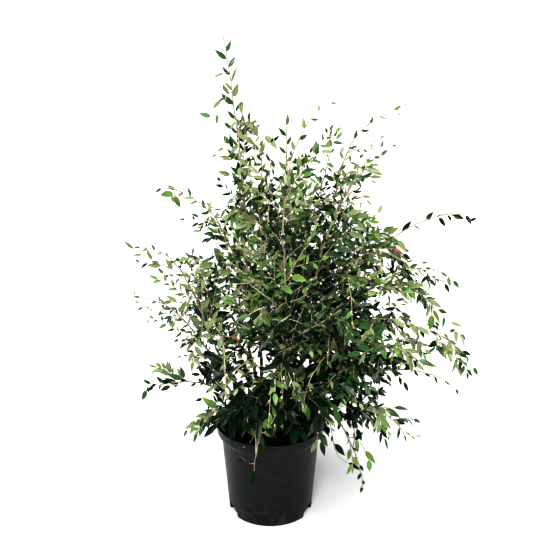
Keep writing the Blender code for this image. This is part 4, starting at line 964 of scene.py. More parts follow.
def add_piece(name, verts, faces, surfaces, slot, face_materials=None, sharp=None):
    """A smooth mesh object that rides on the plant's body."""
    mesh = bpy.data.meshes.new(name)
    mesh.from_pydata(verts.reshape(-1, 3), [], [face for block in faces for face in block.tolist()])
    for surface in surfaces:
        mesh.materials.append(surface)
    if face_materials is not None:
        mesh.polygons.foreach_set("material_index", face_materials)
    mesh.shade_smooth()
    if sharp is not None:
        mesh.set_sharp_from_angle(angle=math.radians(sharp))
    piece = put(name, mesh)
    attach(piece, "root")
    return piece


def give_map(piece, uv):
    """A UV map from one pair of numbers for each vertex."""
    mesh = piece.data
    corners = np.empty(len(mesh.loops), dtype=np.int32)
    mesh.loops.foreach_get("vertex_index", corners)
    layer = mesh.uv_layers.new(name="LeafMap")
    layer.uv.foreach_set("vector", uv[corners].astype(np.float32).ravel())


def ring_faces(rings, sides):
    """Quads between rings of points, rings * sides points in all."""
    k = np.arange(sides)
    low = np.arange(rings - 1)[:, None] * sides
    corners = [low + k, low + (k + 1) % sides, low + sides + (k + 1) % sides, low + sides + k]
    return np.stack(corners, axis=-1).reshape(-1, 4)


def fan_faces(pole, first, sides, outward):
    """Triangles from a pole to a ring that starts at a point."""
    k = np.arange(sides)
    ring = np.stack([first + k, first + (k + 1) % sides], axis=-1)
    if outward:
        ring = ring[:, ::-1]
    return np.column_stack([np.full(sides, pole), ring])


def skin(rings, sides, turned_over=False):
    """A closed body's faces: quads between its rings, triangles to its poles, its last two points."""
    quads = ring_faces(rings, sides)
    pole = rings * sides
    first = fan_faces(pole, 0, sides, not turned_over)
    last = fan_faces(pole + 1, pole - sides, sides, turned_over)
    return quads[:, ::-1] if turned_over else quads, np.vstack([first, last])


def closed(body, first_pole, last_pole):
    """The points and faces of a closed body, from its rings of points and its two poles."""
    return np.vstack([body.reshape(-1, 3), first_pole, last_pole]), skin(*body.shape[:2])


def round_axis(radius, height, turn):
    """Points round Z: (radius * cos(turn), radius * sin(turn), height)."""
    return np.stack(np.broadcast_arrays(radius * np.cos(turn), radius * np.sin(turn), height), axis=-1)


def copies(faces, stride, count):
    """The faces of one shape, repeated for each copy of its points."""
    return (faces[None] + (np.arange(count) * stride)[:, None, None]).reshape(-1, faces.shape[1])


def tubes(points, directions, radii, sides):
    """Closed round tubes along paths.

    point(ring, turn) = path point + radius * (cos(turn) * side + sin(turn) * up), where side
    and up are square to the path. A pole closes each end. points and directions are
    (tubes, rings, 3) and radii (tubes, rings, sides or 1).
    """
    count, rings = points.shape[:2]
    mean = unit(directions.sum(axis=1))
    steep = np.abs(mean[:, 2:]) > STEEP
    reference = np.where(steep, (1.0, 0.0, 0.0), (0.0, 0.0, 1.0))[:, None, :]
    side = unit(np.cross(directions, np.broadcast_to(reference, directions.shape)))
    up = np.cross(side, directions)
    turn = np.arange(sides) * (TURN / sides)
    ring = np.cos(turn)[:, None] * side[:, :, None] + np.sin(turn)[:, None] * up[:, :, None]
    body = points[:, :, None] + np.asarray(radii)[..., None] * ring
    poles = np.stack([points[:, 0], points[:, -1] + directions[:, -1] * np.mean(radii[:, -1])], axis=1)
    verts = np.concatenate([body.reshape(count, -1, 3), poles], axis=1)
    stride = rings * sides + 2
    quads, caps = skin(rings, sides, turned_over=True)
    return verts, copies(quads, stride, count), copies(caps, stride, count)


WAVE_PITCH = (40, 260)          # radians for each metre along a limb


def waves(turn, along, seeds, steps):
    """A smooth random relief: waves that run round and along a limb, mostly from -1 to 1.

    value = sum of sin(a * turn + b * along + c) over the waves, with a whole and from 1 to 6,
    divided by the square root of their number.
    """
    rng = np.random.default_rng(seeds)
    total = np.zeros(np.broadcast(turn, along).shape)
    for _ in range(steps):
        total += np.sin(rng.integers(1, 7) * turn + rng.uniform(*WAVE_PITCH) * along + rng.uniform(0, TURN))
    return total / math.sqrt(steps)


# --------------------------------------------------------------- materials

class Nodes:
    """A material's Principled shader, with short calls that add and link nodes."""

    def __init__(self, name, roughness):
        self.surface = bpy.data.materials.new(name)
        self.surface.use_nodes = True
        self.tree = self.surface.node_tree
        self.shader = self.tree.nodes["Principled BSDF"]
        self.shader.inputs["Roughness"].default_value = roughness

    def add(self, kind, inputs=(), **values):
        node = self.tree.nodes.new(kind)
        for name, value in values.items():
            setattr(node, name, value)
        for name, value in dict(inputs).items():
            if isinstance(value, bpy.types.NodeSocket):
                self.tree.links.new(value, node.inputs[name])
            else:
                node.inputs[name].default_value = value
        return node

    def noise(self, scale, detail=3.0, stretch=(1.0, 1.0, 1.0)):
        """Noise on the object's own coordinates."""
        place = self.add("ShaderNodeTexCoord").outputs["Object"]
        mapped = self.add("ShaderNodeMapping", {"Vector": place, "Scale": stretch})
        return self.add("ShaderNodeTexNoise", {
            "Vector": mapped.outputs["Vector"], "Scale": scale, "Detail": detail}).outputs["Fac"]

    def ramp(self, value, stops):
        """Colours or greys along a value, from (place, colour) stops."""
        ramp = self.add("ShaderNodeValToRGB", {"Fac": value})
        elements = ramp.color_ramp.elements
        while len(elements) < len(stops):
            elements.new(1.0)
        for element, (place, colour) in zip(elements, stops):
            element.position = place
            element.color = (*colour, 1.0) if len(colour) == 3 else (*colour * 3, 1.0)
        return ramp.outputs["Color"]

    def math(self, operation, first, second=0.0):
        return self.add("ShaderNodeMath", {0: first, 1: second}, operation=operation).outputs[0]

    def mix(self, share, first, second):
        mixer = self.add("ShaderNodeMix", {"Factor": share}, data_type="RGBA")
        for socket, value in ((mixer.inputs[6], first), (mixer.inputs[7], second)):
            if isinstance(value, bpy.types.NodeSocket):
                self.tree.links.new(value, socket)
            else:
                socket.default_value = (*value, 1.0)
        return mixer.outputs[2]

    def colour(self, value):
        self.tree.links.new(value, self.shader.inputs["Base Color"])

    def rough(self, value, low, high):
        """Roughness from low to high as the value goes from 0 to 1."""
        spread = self.add("ShaderNodeMapRange", {"Value": value, "To Min": low, "To Max": high})
        self.tree.links.new(spread.outputs["Result"], self.shader.inputs["Roughness"])

    def bump(self, height, depth, strength=1.0):
        bump = self.add("ShaderNodeBump", {"Height": height, "Distance": depth, "Strength": strength})
        self.tree.links.new(bump.outputs["Normal"], self.shader.inputs["Normal"])


def scaled(colour, factor):
    return tuple(min(channel * factor, 1.0) for channel in colour)


# Greys of the pot's marks: how dusty the wall is by height, and the noise that makes specks and scratches
DUSTINESS = ((0.0, (1.0,)), (0.28, (0.12,)), (1.0, (0.25,)))
SPECKS = ((0.50, (0.0,)), (0.66, (1.0,)))
SCRATCHES = ((0.66, (0.0,)), (0.72, (0.5,)))
POT_SPECULAR = 0.30


def pot_plastic(settings):
    """Black moulded plastic: dusty low on the wall, with a few thin scratches round it."""
    nodes = Nodes("pot_plastic", settings.roughness)
    place = nodes.add("ShaderNodeTexCoord").outputs["Object"]
    height = nodes.add("ShaderNodeSeparateXYZ", {"Vector": place}).outputs["Z"]
    low = nodes.ramp(nodes.math("DIVIDE", height, POT_HEIGHT), DUSTINESS)
    specks = nodes.ramp(nodes.noise(55.0, 6.0, (1.0, 1.0, 1.6)), SPECKS)
    scratches = nodes.ramp(nodes.noise(16.0, 4.0, (1.0, 1.0, 18.0)), SCRATCHES)
    dust = nodes.math("MULTIPLY", specks, low)
    marks = nodes.math("MAXIMUM", dust, nodes.math("MULTIPLY", scratches, 0.6))
    nodes.colour(nodes.mix(marks, tuple(settings.colour), tuple(settings.dust)))
    streaks = nodes.noise(38.0, 4.0, (1.0, 1.0, 0.3))
    nodes.rough(streaks, settings.roughness - 0.05, settings.roughness + 0.14)
    nodes.bump(nodes.noise(420.0, 2.0), 0.00008, 0.5)
    nodes.shader.inputs["Specular IOR Level"].default_value = POT_SPECULAR
    return nodes.surface


def compost_earth(name, dark, light):
    """Crumbly dark compost."""
    nodes = Nodes(name, 0.95)
    nodes.colour(nodes.ramp(nodes.noise(160.0, 6.0), ((0.35, dark), (0.72, light))))
    nodes.bump(nodes.noise(420.0, 6.0), 0.0015)
    return nodes.surface


class Bark(NamedTuple):
    """One kind of bark, against the colour that the panel gives it."""
    dark: float                 # brightness in the cracks
    light: float                # brightness on the ridges
    relief: float               # depth of the cracks
    stretch: float              # below 1 its streaks are longer along the limb


BARKS = {
    "stem_bark": Bark(0.28, 1.0, 0.0006, 0.25),
    "bough_bark": Bark(0.4, 1.25, 0.0004, 0.4),
    "shoot_bark": Bark(0.35, 0.9, 0.0003, 0.6),
    "twig_bark": Bark(0.55, 1.25, 0.0002, 0.8),
    # The next is a paler copy of the twig bark for the front side's twigs, painted light; the last a darker
    # copy for dark masses' twigs, partly old bark and partly painted shade.
    "straw_bark": Bark(0.85, 1.9, 0.0002, 0.8),
    "old_twig_bark": Bark(0.15, 0.7, 0.0002, 0.8),
}


def bark(name, colour):
    """Bark in long streaks up the limb, darker in its cracks."""
    kind = BARKS[name]
    nodes = Nodes(name, 0.72)
    streaks = nodes.noise(90.0, 5.0, (1.0, 1.0, kind.stretch))
    patches = nodes.noise(26.0, 2.0)
    tone = nodes.math("ADD", nodes.math("MULTIPLY", streaks, 0.65), nodes.math("MULTIPLY", patches, 0.35))
    nodes.colour(nodes.ramp(tone, ((0.36, scaled(colour, kind.dark)), (0.62, scaled(colour, kind.light)))))
    nodes.rough(streaks, 0.82, 0.62)
    nodes.bump(streaks, kind.relief)
    return nodes.surface


VEIN_SLANT = 0.16               # how far a side vein runs on towards the tip, per unit across
SIDE_VEINS = 9.0                # on each half of a leaf
SIDE_VEIN_WIDTH = 0.07          # half of it, as a share of the space from one to the next
SIDE_VEIN_STRENGTH = 0.35       # against the midrib's and the pale rim's, which is painted sheen
MIDRIB_WIDTH = 0.07             # of half the leaf
SHEEN_RIM_START = 0.82                # of half the leaf, where its pale rim of painted sheen starts
VEIN_AND_SHEEN_COLOUR = 2.4               # brightness of the vein lines and the painted sheen rim, against the leaf's
VEIN_AND_SHEEN_STRENGTH = 0.5             # how much of that colour shows
LEAF_SPECULAR = 0.12
LEAF_COAT = 0.28
LEAF_COAT_ROUGHNESS = 0.16


def leaf_surface(name, colour, gloss):
    """A leaf: mottled green, a paler midrib and side vein lines, a pale rim along its edge that is painted
    sheen, all on its own map, and a waxy gloss.

    The map's first number runs across the leaf from -1 to 1, the second along it from 0 to 1.
    A side vein lies where (along - slant * across) * veins is a whole number.
    """
    nodes = Nodes(name, gloss)
    leaf_map = nodes.add("ShaderNodeUVMap", uv_map="LeafMap").outputs["UV"]
    parts = nodes.add("ShaderNodeSeparateXYZ", {"Vector": leaf_map})
    across = nodes.math("ABSOLUTE", parts.outputs["X"])
    slanted = nodes.math("SUBTRACT", parts.outputs["Y"], nodes.math("MULTIPLY", across, VEIN_SLANT))
    wave = nodes.math("PINGPONG", nodes.math("MULTIPLY", slanted, SIDE_VEINS), 0.5)
    side_veins = nodes.math("MULTIPLY", nodes.math("LESS_THAN", wave, SIDE_VEIN_WIDTH), SIDE_VEIN_STRENGTH)
    midrib = nodes.math("LESS_THAN", across, MIDRIB_WIDTH)
    # A pale rim along the leaf's edge: painted sheen.
    rim = nodes.math("GREATER_THAN", across, SHEEN_RIM_START)
    veins_and_sheen_rim = nodes.math("MAXIMUM", side_veins, nodes.math("MAXIMUM", midrib, rim))
    mottle = nodes.ramp(nodes.noise(30.0, 3.0), ((0.3, scaled(colour, 0.72)), (0.7, scaled(colour, 1.3))))
    shown = nodes.math("MULTIPLY", veins_and_sheen_rim, VEIN_AND_SHEEN_STRENGTH)
    nodes.colour(nodes.mix(shown, mottle, scaled(colour, VEIN_AND_SHEEN_COLOUR)))
    nodes.rough(nodes.noise(70.0, 2.0), gloss - 0.06, gloss + 0.12)
    nodes.bump(nodes.math("SUBTRACT", 1.0, midrib), 0.0002, 0.6)
    nodes.shader.inputs["Specular IOR Level"].default_value = LEAF_SPECULAR
    nodes.shader.inputs["Coat Weight"].default_value = LEAF_COAT
    nodes.shader.inputs["Coat Roughness"].default_value = LEAF_COAT_ROUGHNESS
    return nodes.surface


# --------------------------------------------------------------- pot and compost

def wall_radius(height):
    """Outside radius of the pot's wall."""
    return FOOT_RADIUS + WALL_SLOPE * height


def arc(radius, height, size, start, end, count):
    """Points on an arc about a centre, in degrees from the +radius direction up."""
    angle = np.radians(np.linspace(start, end, count))
    return np.column_stack([radius + size * np.cos(angle), height + size * np.sin(angle)])


def pot_profile(wall):
    """(radius, height) from the middle of the underside round to the middle of the floor."""
    band_foot = POT_HEIGHT - RIM_BAND
    wall_top = band_foot - SHOULDER
    band = RIM_RADIUS - LIP
    inner_top = wall_top + wall
    foot_inside = FOOT_RADIUS - FOOT_WALL
    heights = np.concatenate([
        np.linspace(WALL_START, NOTCH_HEIGHT - NOTCH_TOP, 6),
        np.linspace(NOTCH_HEIGHT + NOTCH_TOP, wall_top, 24)])
    share = np.linspace(0, 1, 7)
    ease = share * share * (3 - 2 * share)
    outer = wall_radius(wall_top)
    shoulder = np.column_stack([outer + (band - SHOULDER_STEP - outer) * ease, wall_top + SHOULDER * share])
    band_heights = np.linspace(band_foot + BAND_GAP[0], POT_HEIGHT - BAND_GAP[1], 6)
    return np.vstack([
        [(POLE_RING, 0.0), (FOOT_RADIUS - FOOT_FLAT, 0.0)],
        arc(FOOT_RADIUS - FOOT_ROUND, FOOT_ROUND, FOOT_ROUND, -90, 0, 5),
        np.column_stack([wall_radius(heights), heights]),
        shoulder[1:],
        np.column_stack([np.linspace(band - BAND_LEAN, band, 6), band_heights]),
        arc(RIM_RADIUS - LIP_ROUND, POT_HEIGHT - LIP_ROUND, LIP_ROUND, -60, 90, 9),
        arc(band - wall + INNER_STEP, POT_HEIGHT - INNER_ROUND, INNER_ROUND, 90, 180, 5),
        [(wall_radius(inner_top) - wall, inner_top), (wall_radius(FOOT_HEIGHT) - wall, FOOT_HEIGHT),
         (foot_inside, FOOT_HEIGHT - FLOOR_STEP), (foot_inside, FLOOR), (POLE_RING, FLOOR)],
    ])


def notch_depth(turn):
    """1 inside a drainage notch and 0 outside it, with a steep slope at its sides."""
    centres = np.radians(NOTCH_AZIMUTHS)
    away = np.abs((turn[:, None] - centres + math.pi) % TURN - math.pi).min(axis=1)
    edge = math.radians(NOTCH_EDGE)
    return np.clip((math.radians(NOTCH_WIDTH / 2) - away) / edge, 0, 1)


def pot_turns():
    """The turns round the pot at which it has points: even steps, and the notches' edges."""
    half = NOTCH_WIDTH / 2
    edges = [azimuth + side * (half - inset) for azimuth in NOTCH_AZIMUTHS for side in (-1, 1)
             for inset in (0.0, NOTCH_EDGE)]
    turns = np.concatenate([np.arange(0, 360, POT_STEP), np.array(edges) % 360])
    return np.radians(np.unique(np.round(turns, 3)))


def build_pot(settings):
    """point(turn, station) = profile radius round Z, cut back to the notch's floor inside a notch."""
    profile = pot_profile(settings.wall)
    turn = pot_turns()
    radius, height = profile[:, :1], profile[:, 1:]
    outer_half = np.linspace(0, 1, len(profile))[:, None] < 0.5
    floor = FOOT_RADIUS - NOTCH_DEPTH
    cut = np.minimum(radius, floor + (radius - floor) * (1 - notch_depth(turn)))
    radius = np.where((height < NOTCH_HEIGHT) & outer_half, cut, radius)
    verts, faces = closed(round_axis(radius, height, turn), (0.0, 0.0, 0.0), (0.0, 0.0, FLOOR))
    piece = add_piece("pot_shell", verts, faces, [pot_plastic(settings)], "pot_plastic", sharp=POT_SHARP)
    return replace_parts(piece, "pot")


def ground(x, y):
    """Height of the compost's crumbly surface above its level: bumps of four sizes, summed."""
    rng = np.random.default_rng(BUMP_SEED)
    total = np.zeros(np.shape(x))
    for scale, size in BUMPS:
        for _ in range(3):
            azimuth = rng.uniform(0, TURN)
            along = x * math.cos(azimuth) + y * math.sin(azimuth)
            wobble = WOBBLE * np.sin(scale * WOBBLE_SCALE * y)
            total += size * np.sin(scale * along + rng.uniform(0, TURN) + wobble)
    return total * BUMP_HEIGHT


def build_compost(settings):
    """A closed body: its top is height = level + ground(x, y), falling to the wall."""
    edge = SOIL_TOP - SOIL_DROP
    wall = SOIL_WALL + SOIL_GAP
    outer = wall_radius(edge) - wall
    reach = np.linspace(SOIL_HOLE, outer, SOIL_RINGS)
    level = SOIL_TOP - SOIL_DROP * np.clip((reach - SOIL_LEVEL) / (outer - SOIL_LEVEL), 0, 1)
    turn = np.arange(SOIL_SIDES) * (TURN / SOIL_SIDES)
    x = reach[:, None] * np.cos(turn)
    y = reach[:, None] * np.sin(turn)
    fade = np.clip((outer - reach) / SOIL_FADE, 0, 1)[:, None]
    top = np.stack([x, y, level[:, None] + (ground(x, y) + SOIL_LIFT) * fade], axis=-1)[::-1]
    inner = FOOT_RADIUS - FOOT_WALL - SOIL_GAP
    foot = FLOOR + SOIL_FOOT
    side = np.array([(inner, foot), (inner, FOOT_HEIGHT - FLOOR_STEP),
                     (wall_radius(FOOT_HEIGHT) - wall, FOOT_HEIGHT)])
    body = np.concatenate([round_axis(side[:, :1], side[:, 1:], turn), top])
    verts, faces = closed(body, (0.0, 0.0, foot), (0.0, 0.0, float(top[-1, :, 2].mean())))
    earth = compost_earth("compost", scaled(settings.colour, 0.35), scaled(settings.colour, 1.6))
    piece = add_piece("compost_bed", verts, faces, [earth], "compost")
    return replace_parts(piece, "soil")


def chip_shape():
    """The twelve corners and twenty faces of an icosahedron, by its golden rectangles."""
    g = (1 + math.sqrt(5)) / 2
    corners = np.array([(-1, g, 0), (1, g, 0), (-1, -g, 0), (1, -g, 0), (0, -1, g), (0, 1, g),
                        (0, -1, -g), (0, 1, -g), (g, 0, -1), (g, 0, 1), (-g, 0, -1), (-g, 0, 1)], float)
    faces = np.array([(0, 11, 5), (0, 5, 1), (0, 1, 7), (0, 7, 10), (0, 10, 11), (1, 5, 9), (5, 11, 4),
                      (11, 10, 2), (10, 7, 6), (7, 1, 8), (3, 9, 4), (3, 4, 2), (3, 2, 6), (3, 6, 8),
                      (3, 8, 9), (4, 9, 5), (2, 4, 11), (6, 2, 10), (8, 6, 7), (9, 8, 1)])
    return unit(corners), faces


def build_chips(settings):
    """Bark chips and a few white grains, lying flat on the compost: stretched, knobbly lumps."""
    rng = np.random.default_rng(CHIP_SEED)
    count = settings.chips
    corners, faces = chip_shape()
    reach = (RIM_RADIUS - CHIP_MARGIN) * np.sqrt(rng.uniform(0, 1, count))
    azimuth = rng.uniform(0, TURN, count)
    centre = np.column_stack([reach * np.cos(azimuth), reach * np.sin(azimuth)])
    fall = SOIL_DROP * np.clip((reach - SOIL_LEVEL) / (RIM_RADIUS - CHIP_FALL_END - SOIL_LEVEL), 0, 1)
    height = SOIL_TOP - fall + ground(*centre.T)
    kind = rng.choice(3, count, p=CHIP_KINDS)
    size = rng.uniform(0.5, 1.0, count) * np.where(kind == 2, GRAIN_SIZE, settings.chip_size)
    width = rng.uniform(*CHIP_WIDTH, count)
    shape = size[:, None] * np.column_stack([np.ones(count), width, rng.uniform(*CHIP_HEIGHT, count)])
    knobbly = corners * rng.uniform(*CHIP_KNOBS, (count, 12, 1))
    local = knobbly * shape[:, None]
    turn = rng.uniform(0, TURN, count)[:, None]
    tilt = rng.uniform(-CHIP_TILT, CHIP_TILT, (count, 2))
    x = local[..., 0] * np.cos(turn) - local[..., 1] * np.sin(turn)
    y = local[..., 0] * np.sin(turn) + local[..., 1] * np.cos(turn)
    z = local[..., 2] + tilt[:, :1] * x + tilt[:, 1:] * y + height[:, None] + shape[:, 2:] * 0.5
    verts = np.stack([x + centre[:, :1], y + centre[:, 1:], z], axis=-1)
    surfaces = [
        compost_earth("chip_dark", scaled(settings.colour, 0.6), scaled(settings.colour, 2.2)),
        compost_earth("chip_brown", scaled(settings.chip_colour, 0.5), tuple(settings.chip_colour)),
        compost_earth("grain_white", (0.35, 0.33, 0.30), (0.62, 0.60, 0.56)),
    ]
    return add_piece("compost_chips", verts, (copies(faces, 12, count),), surfaces, "compost",
                     np.repeat(kind, len(faces)))


# --------------------------------------------------------------- limbs and twigs

def limb_tube(path, start, end, radius_at, settings, seed, sides):
    """One limb with its bark's relief: radius * (1 + relief * waves round and along it)."""
    length = path.length(start, end)
    shares = np.linspace(start, end, max(int(length / RING_SPACING), 6))
    turn = np.arange(sides) * (TURN / sides)
    along = (shares * length)[:, None]
    relief = 1 + settings.relief * waves(turn[None], along, seed, BARK_WAVES)
    radii = radius_at(shares)[:, None] * relief
    return tubes(path.at(shares)[None], path.along(shares)[None], radii[None], sides)


def joined(shapes):
    """Several (verts, quads, triangles) as one."""
    verts, quads, caps = [], [], []
    first = 0
    for points, q, t in shapes:
        verts.append(points.reshape(-1, 3))
        quads.append(q + first)
        caps.append(t + first)
        first += len(verts[-1])
    return np.vstack(verts), (np.vstack(quads), np.vstack(caps))


def build_stems(settings):
    """Every stem, from just under the compost to its top."""
    shapes = []
    for seed, stem in enumerate(STEMS):
        radius_at = functools.partial(stem_radius, stem)
        shapes.append(limb_tube(stem_path(stem), STEM_SINK, 1.0, radius_at, settings, seed, STEM_SIDES))
    piece = add_piece("stems", *joined(shapes), [bark("stem_bark", settings.colour)], "bark")
    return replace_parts(piece, *["stem_" + stem.name for stem in STEMS])


def build_boughs(settings):
    """Every bare bough, from its stem to a little way into its shoot."""
    shapes = []
    bearing = [mass for mass in MASSES if mass.bough > 0]
    for seed, mass in enumerate(bearing, len(STEMS)):
        radius_at = functools.partial(limb_radius, mass)
        end = mass.bough + BOUGH_OVERLAP
        shapes.append(limb_tube(mass_path(mass), 0.0, end, radius_at, settings, seed, BOUGH_SIDES))
    piece = add_piece("boughs", *joined(shapes), [bark("bough_bark", settings.colour)], "bark")
    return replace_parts(piece, *["bough_" + mass.name for mass in bearing])


TWIG_MESH = ((26, 7), (8, 5), (6, 4))   # rings and sides of a shoot, a twig and a twiglet


def build_twigs(side, crown, surfaces):
    """The shoots, twigs and twiglets of one side, with a slight zigzag from leaf to leaf."""
    shapes, quad_kinds, cap_kinds = [], [], []
    rng = np.random.default_rng(len(side))
    for order, (rings, sides) in enumerate(TWIG_MESH):
        limbs = [limb for limb in crown.limbs[side] if limb.order == order]
        if not limbs:
            continue
        shares = [np.linspace(limb.start, 1.0, rings) for limb in limbs]
        points = np.stack([limb.path.at(share) for limb, share in zip(limbs, shares)])
        directions = np.stack([limb.path.along(share) for limb, share in zip(limbs, shares)])
        foot = np.array([limb.foot_radius for limb in limbs])[:, None]
        tip = np.array([limb.tip_radius for limb in limbs])[:, None]
        radii = foot + (tip - foot) * np.linspace(0, 1, rings) ** LIMB_TAPER
        knots = 1 + KNOT * (np.arange(rings) % 3 == 1)
        zigzag = rng.normal(0, 1, points.shape) * radii[..., None] * ZIGZAG
        zigzag[:, 0] = 0
        verts, quads, caps = tubes(points + zigzag, directions, (radii * knots)[..., None], sides)
        shapes.append((verts, quads, caps))
        kinds = np.array([limb.kind for limb in limbs])
        quad_kinds.append(np.repeat(kinds, len(quads) // len(limbs)))
        cap_kinds.append(np.repeat(kinds, len(caps) // len(limbs)))
    verts, faces = joined(shapes)
    kinds = np.concatenate(quad_kinds + cap_kinds)
    piece = add_piece("twigs_" + side, verts, faces, surfaces, "bark", kinds)
    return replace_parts(piece, *["foliage_" + name for name, look in LOOKS.items() if look.side == side])


# --------------------------------------------------------------- leaves and buds

def blade_width(share):
    """Half the width of a leaf along its length, as a share of its widest.

    (distance from the foot) ** BLADE_BASE * (distance from the tip) ** BLADE_TIP, over its peak;
    below the blade it is the stalk.
    """
    blade = np.clip((np.asarray(share) - STALK) / (1 - STALK), 0, 1)
    peak = BLADE_BASE / (BLADE_BASE + BLADE_TIP)
    most = peak ** BLADE_BASE * (1 - peak) ** BLADE_TIP
    return np.maximum(blade ** BLADE_BASE * (1 - blade) ** BLADE_TIP / most, STALK_WIDTH)


def leaf_template():
    """One leaf's faces, as point numbers, and which of them are its underside."""
    columns = len(LEAF_COLUMNS)
    sides = columns + 1
    rings = len(LEAF_RINGS)
    quads, caps = skin(rings, sides)
    under = np.arange(sides) >= columns - 1
    return quads, caps, np.tile(under, rings - 1), np.tile(under, 2)


def leaf_points(leaves):
    """The points of many leaves at once, and their places on the leaf map.

    point(along, across) = root + along * length * direction
        + across * half width * side, which turns a little with along
        + (fold of the edges, dome of each half, less the curl of the tip) * face.
    """
    root, direction, face = leaves[:, 0:3], leaves[:, 3:6], leaves[:, 6:9]
    length, slender, curl, twist = leaves[:, 9:13].T
    side = unit(np.cross(direction, face))
    face = np.cross(side, direction)
    along = np.array(LEAF_RINGS)
    across = np.array((*LEAF_COLUMNS, 0.0))
    below = np.array([0.0] * len(LEAF_COLUMNS) + [1.0])
    width = length * slender
    half = (width[:, None] / 2) * blade_width(along)
    rise = LEAF_FOLD * np.abs(across) + (LEAF_DOME - LEAF_FOLD / 2) * (1 - np.abs(2 * np.abs(across) - 1))
    lift = (2 * half[..., None] * rise) * (1 - below) - LEAF_MIDRIB * below
    turn = twist[:, None] * along
    sideways = np.cos(turn)[..., None] * side[:, None] + np.sin(turn)[..., None] * face[:, None]
    upwards = np.cos(turn)[..., None] * face[:, None] - np.sin(turn)[..., None] * side[:, None]
    bend = curl[:, None] * length[:, None] * along ** 2
    spine = (root[:, None] + (along * length[:, None])[..., None] * direction[:, None]
             - bend[..., None] * face[:, None])
    body = (spine[:, :, None] + (half[..., None] * across)[..., None] * sideways[:, :, None]
            + lift[..., None] * upwards[:, :, None])
    tip = root + length[:, None] * direction - (curl * length)[:, None] * face
    count = len(leaves)
    verts = np.concatenate([body.reshape(count, -1, 3), root[:, None], tip[:, None]], axis=1)
    ring_map = np.stack(np.broadcast_arrays(across, along[:, None]), axis=-1).reshape(-1, 2)
    leaf_map = np.vstack([ring_map, [(0.0, 0.0), (0.0, 1.0)]])
    return verts, np.tile(leaf_map, (count, 1))


def build_leaves(side, crown, surfaces):
    """Every leaf of one side, in its own outline, each with the colour of its spray."""
    leaves = np.array(crown.leaves[side])
    verts, leaf_map = leaf_points(leaves)
    quads, caps, *unders = leaf_template()
    stride = verts.shape[1]
    count = len(leaves)
    tint = leaves[:, 13].astype(int)
    underside = len(TINTS) + (tint >= TINTS.index("pale"))
    materials = [np.where(under, underside[:, None], tint[:, None]).ravel() for under in unders]
    piece = add_piece("leaves_" + side, verts, (copies(quads, stride, count), copies(caps, stride, count)),
                      surfaces, "leaf", np.concatenate(materials), sharp=LEAF_SHARP)
    give_map(piece, leaf_map)
    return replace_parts(piece, *["foliage_" + name for name, look in LOOKS.items() if look.side == side])


def build_buds(settings, crown):
    """Egg-shaped flower buds: radius = width * size * sin(pi * tip * share ** egg) ** egg."""
    buds = np.array(crown.buds)
    point, direction, scale = buds[:, 0:3], unit(buds[:, 3:6]), buds[:, 6]
    share = np.linspace(BUD_START, 1.0, 6)
    size = settings.bud_length * scale
    points = point[:, None] + direction[:, None] * (share * size[:, None])[..., None]
    radii = size[:, None] * BUD_WIDTH * np.sin(np.pi * share ** BUD_EGG * BUD_TIP) ** BUD_EGG
    directions = np.broadcast_to(direction[:, None], points.shape)
    verts, quads, caps = tubes(points, directions, np.maximum(radii, BUD_THINNEST)[..., None], BUD_SIDES)
    kind = (np.arange(len(buds)) % 3 == 0).astype(int)
    materials = np.concatenate([np.repeat(kind, len(faces) // len(buds)) for faces in (quads, caps)])
    surfaces = [bud_skin("bud_cream", tuple(settings.cream)), bud_skin("bud_pink", tuple(settings.pink))]
    return add_piece("flower_buds", verts, (quads, caps), surfaces, "leaf", materials)


def bud_skin(name, colour):
    """The overlapping scales of a bud, as soft bands of a lighter and a darker tone."""
    nodes = Nodes(name, 0.5)
    stops = ((0.35, scaled(colour, 0.6)), (0.65, scaled(colour, 1.15)))
    nodes.colour(nodes.ramp(nodes.noise(300.0, 2.0), stops))
    nodes.bump(nodes.noise(500.0, 2.0), 0.0003)
    return nodes.surface


# --------------------------------------------------------------- stage

LIGHT_DISTANCE = 4.0
CAMERA_SIGHT = 50.0


def build_floor(settings):
    """A plain pale floor, far larger than the view."""
    half = settings.floor_size / 2
    corners = [(-half, -half, 0), (half, -half, 0), (half, half, 0), (-half, half, 0)]
    mesh = bpy.data.meshes.new("floor")
    mesh.from_pydata(corners, [], [(0, 1, 2, 3)])
    nodes = Nodes("floor_paint", 0.9)
    nodes.shader.inputs["Base Color"].default_value = (*settings.floor_colour, 1.0)
    mesh.materials.append(nodes.surface)
    floor = put("floor", mesh)


def add_light(name, azimuth, pitch, strength, softness):
    """A broad, far light that evenly lights plant and floor, from an azimuth and a pitch."""
    light = bpy.data.lights.new(name, "SUN")
    light.angle = math.radians(softness)
    light.energy = strength
    lamp = put(name, light)
    lamp.location = heading(azimuth, pitch) * LIGHT_DISTANCE
    lamp.rotation_euler = (math.radians(90 - pitch), 0.0, math.radians(azimuth + 90))


def add_camera(settings):
    """The camera, level from side to side and pitched down."""
    camera = bpy.data.cameras.new("camera")
    camera.lens = settings.lens
    camera.clip_end = CAMERA_SIGHT
    holder = put("camera", camera)
    holder.location = settings.camera_place
    holder.rotation_euler = (math.radians(90.0 - settings.camera_pitch), 0.0, 0.0)
    bpy.context.scene.camera = holder


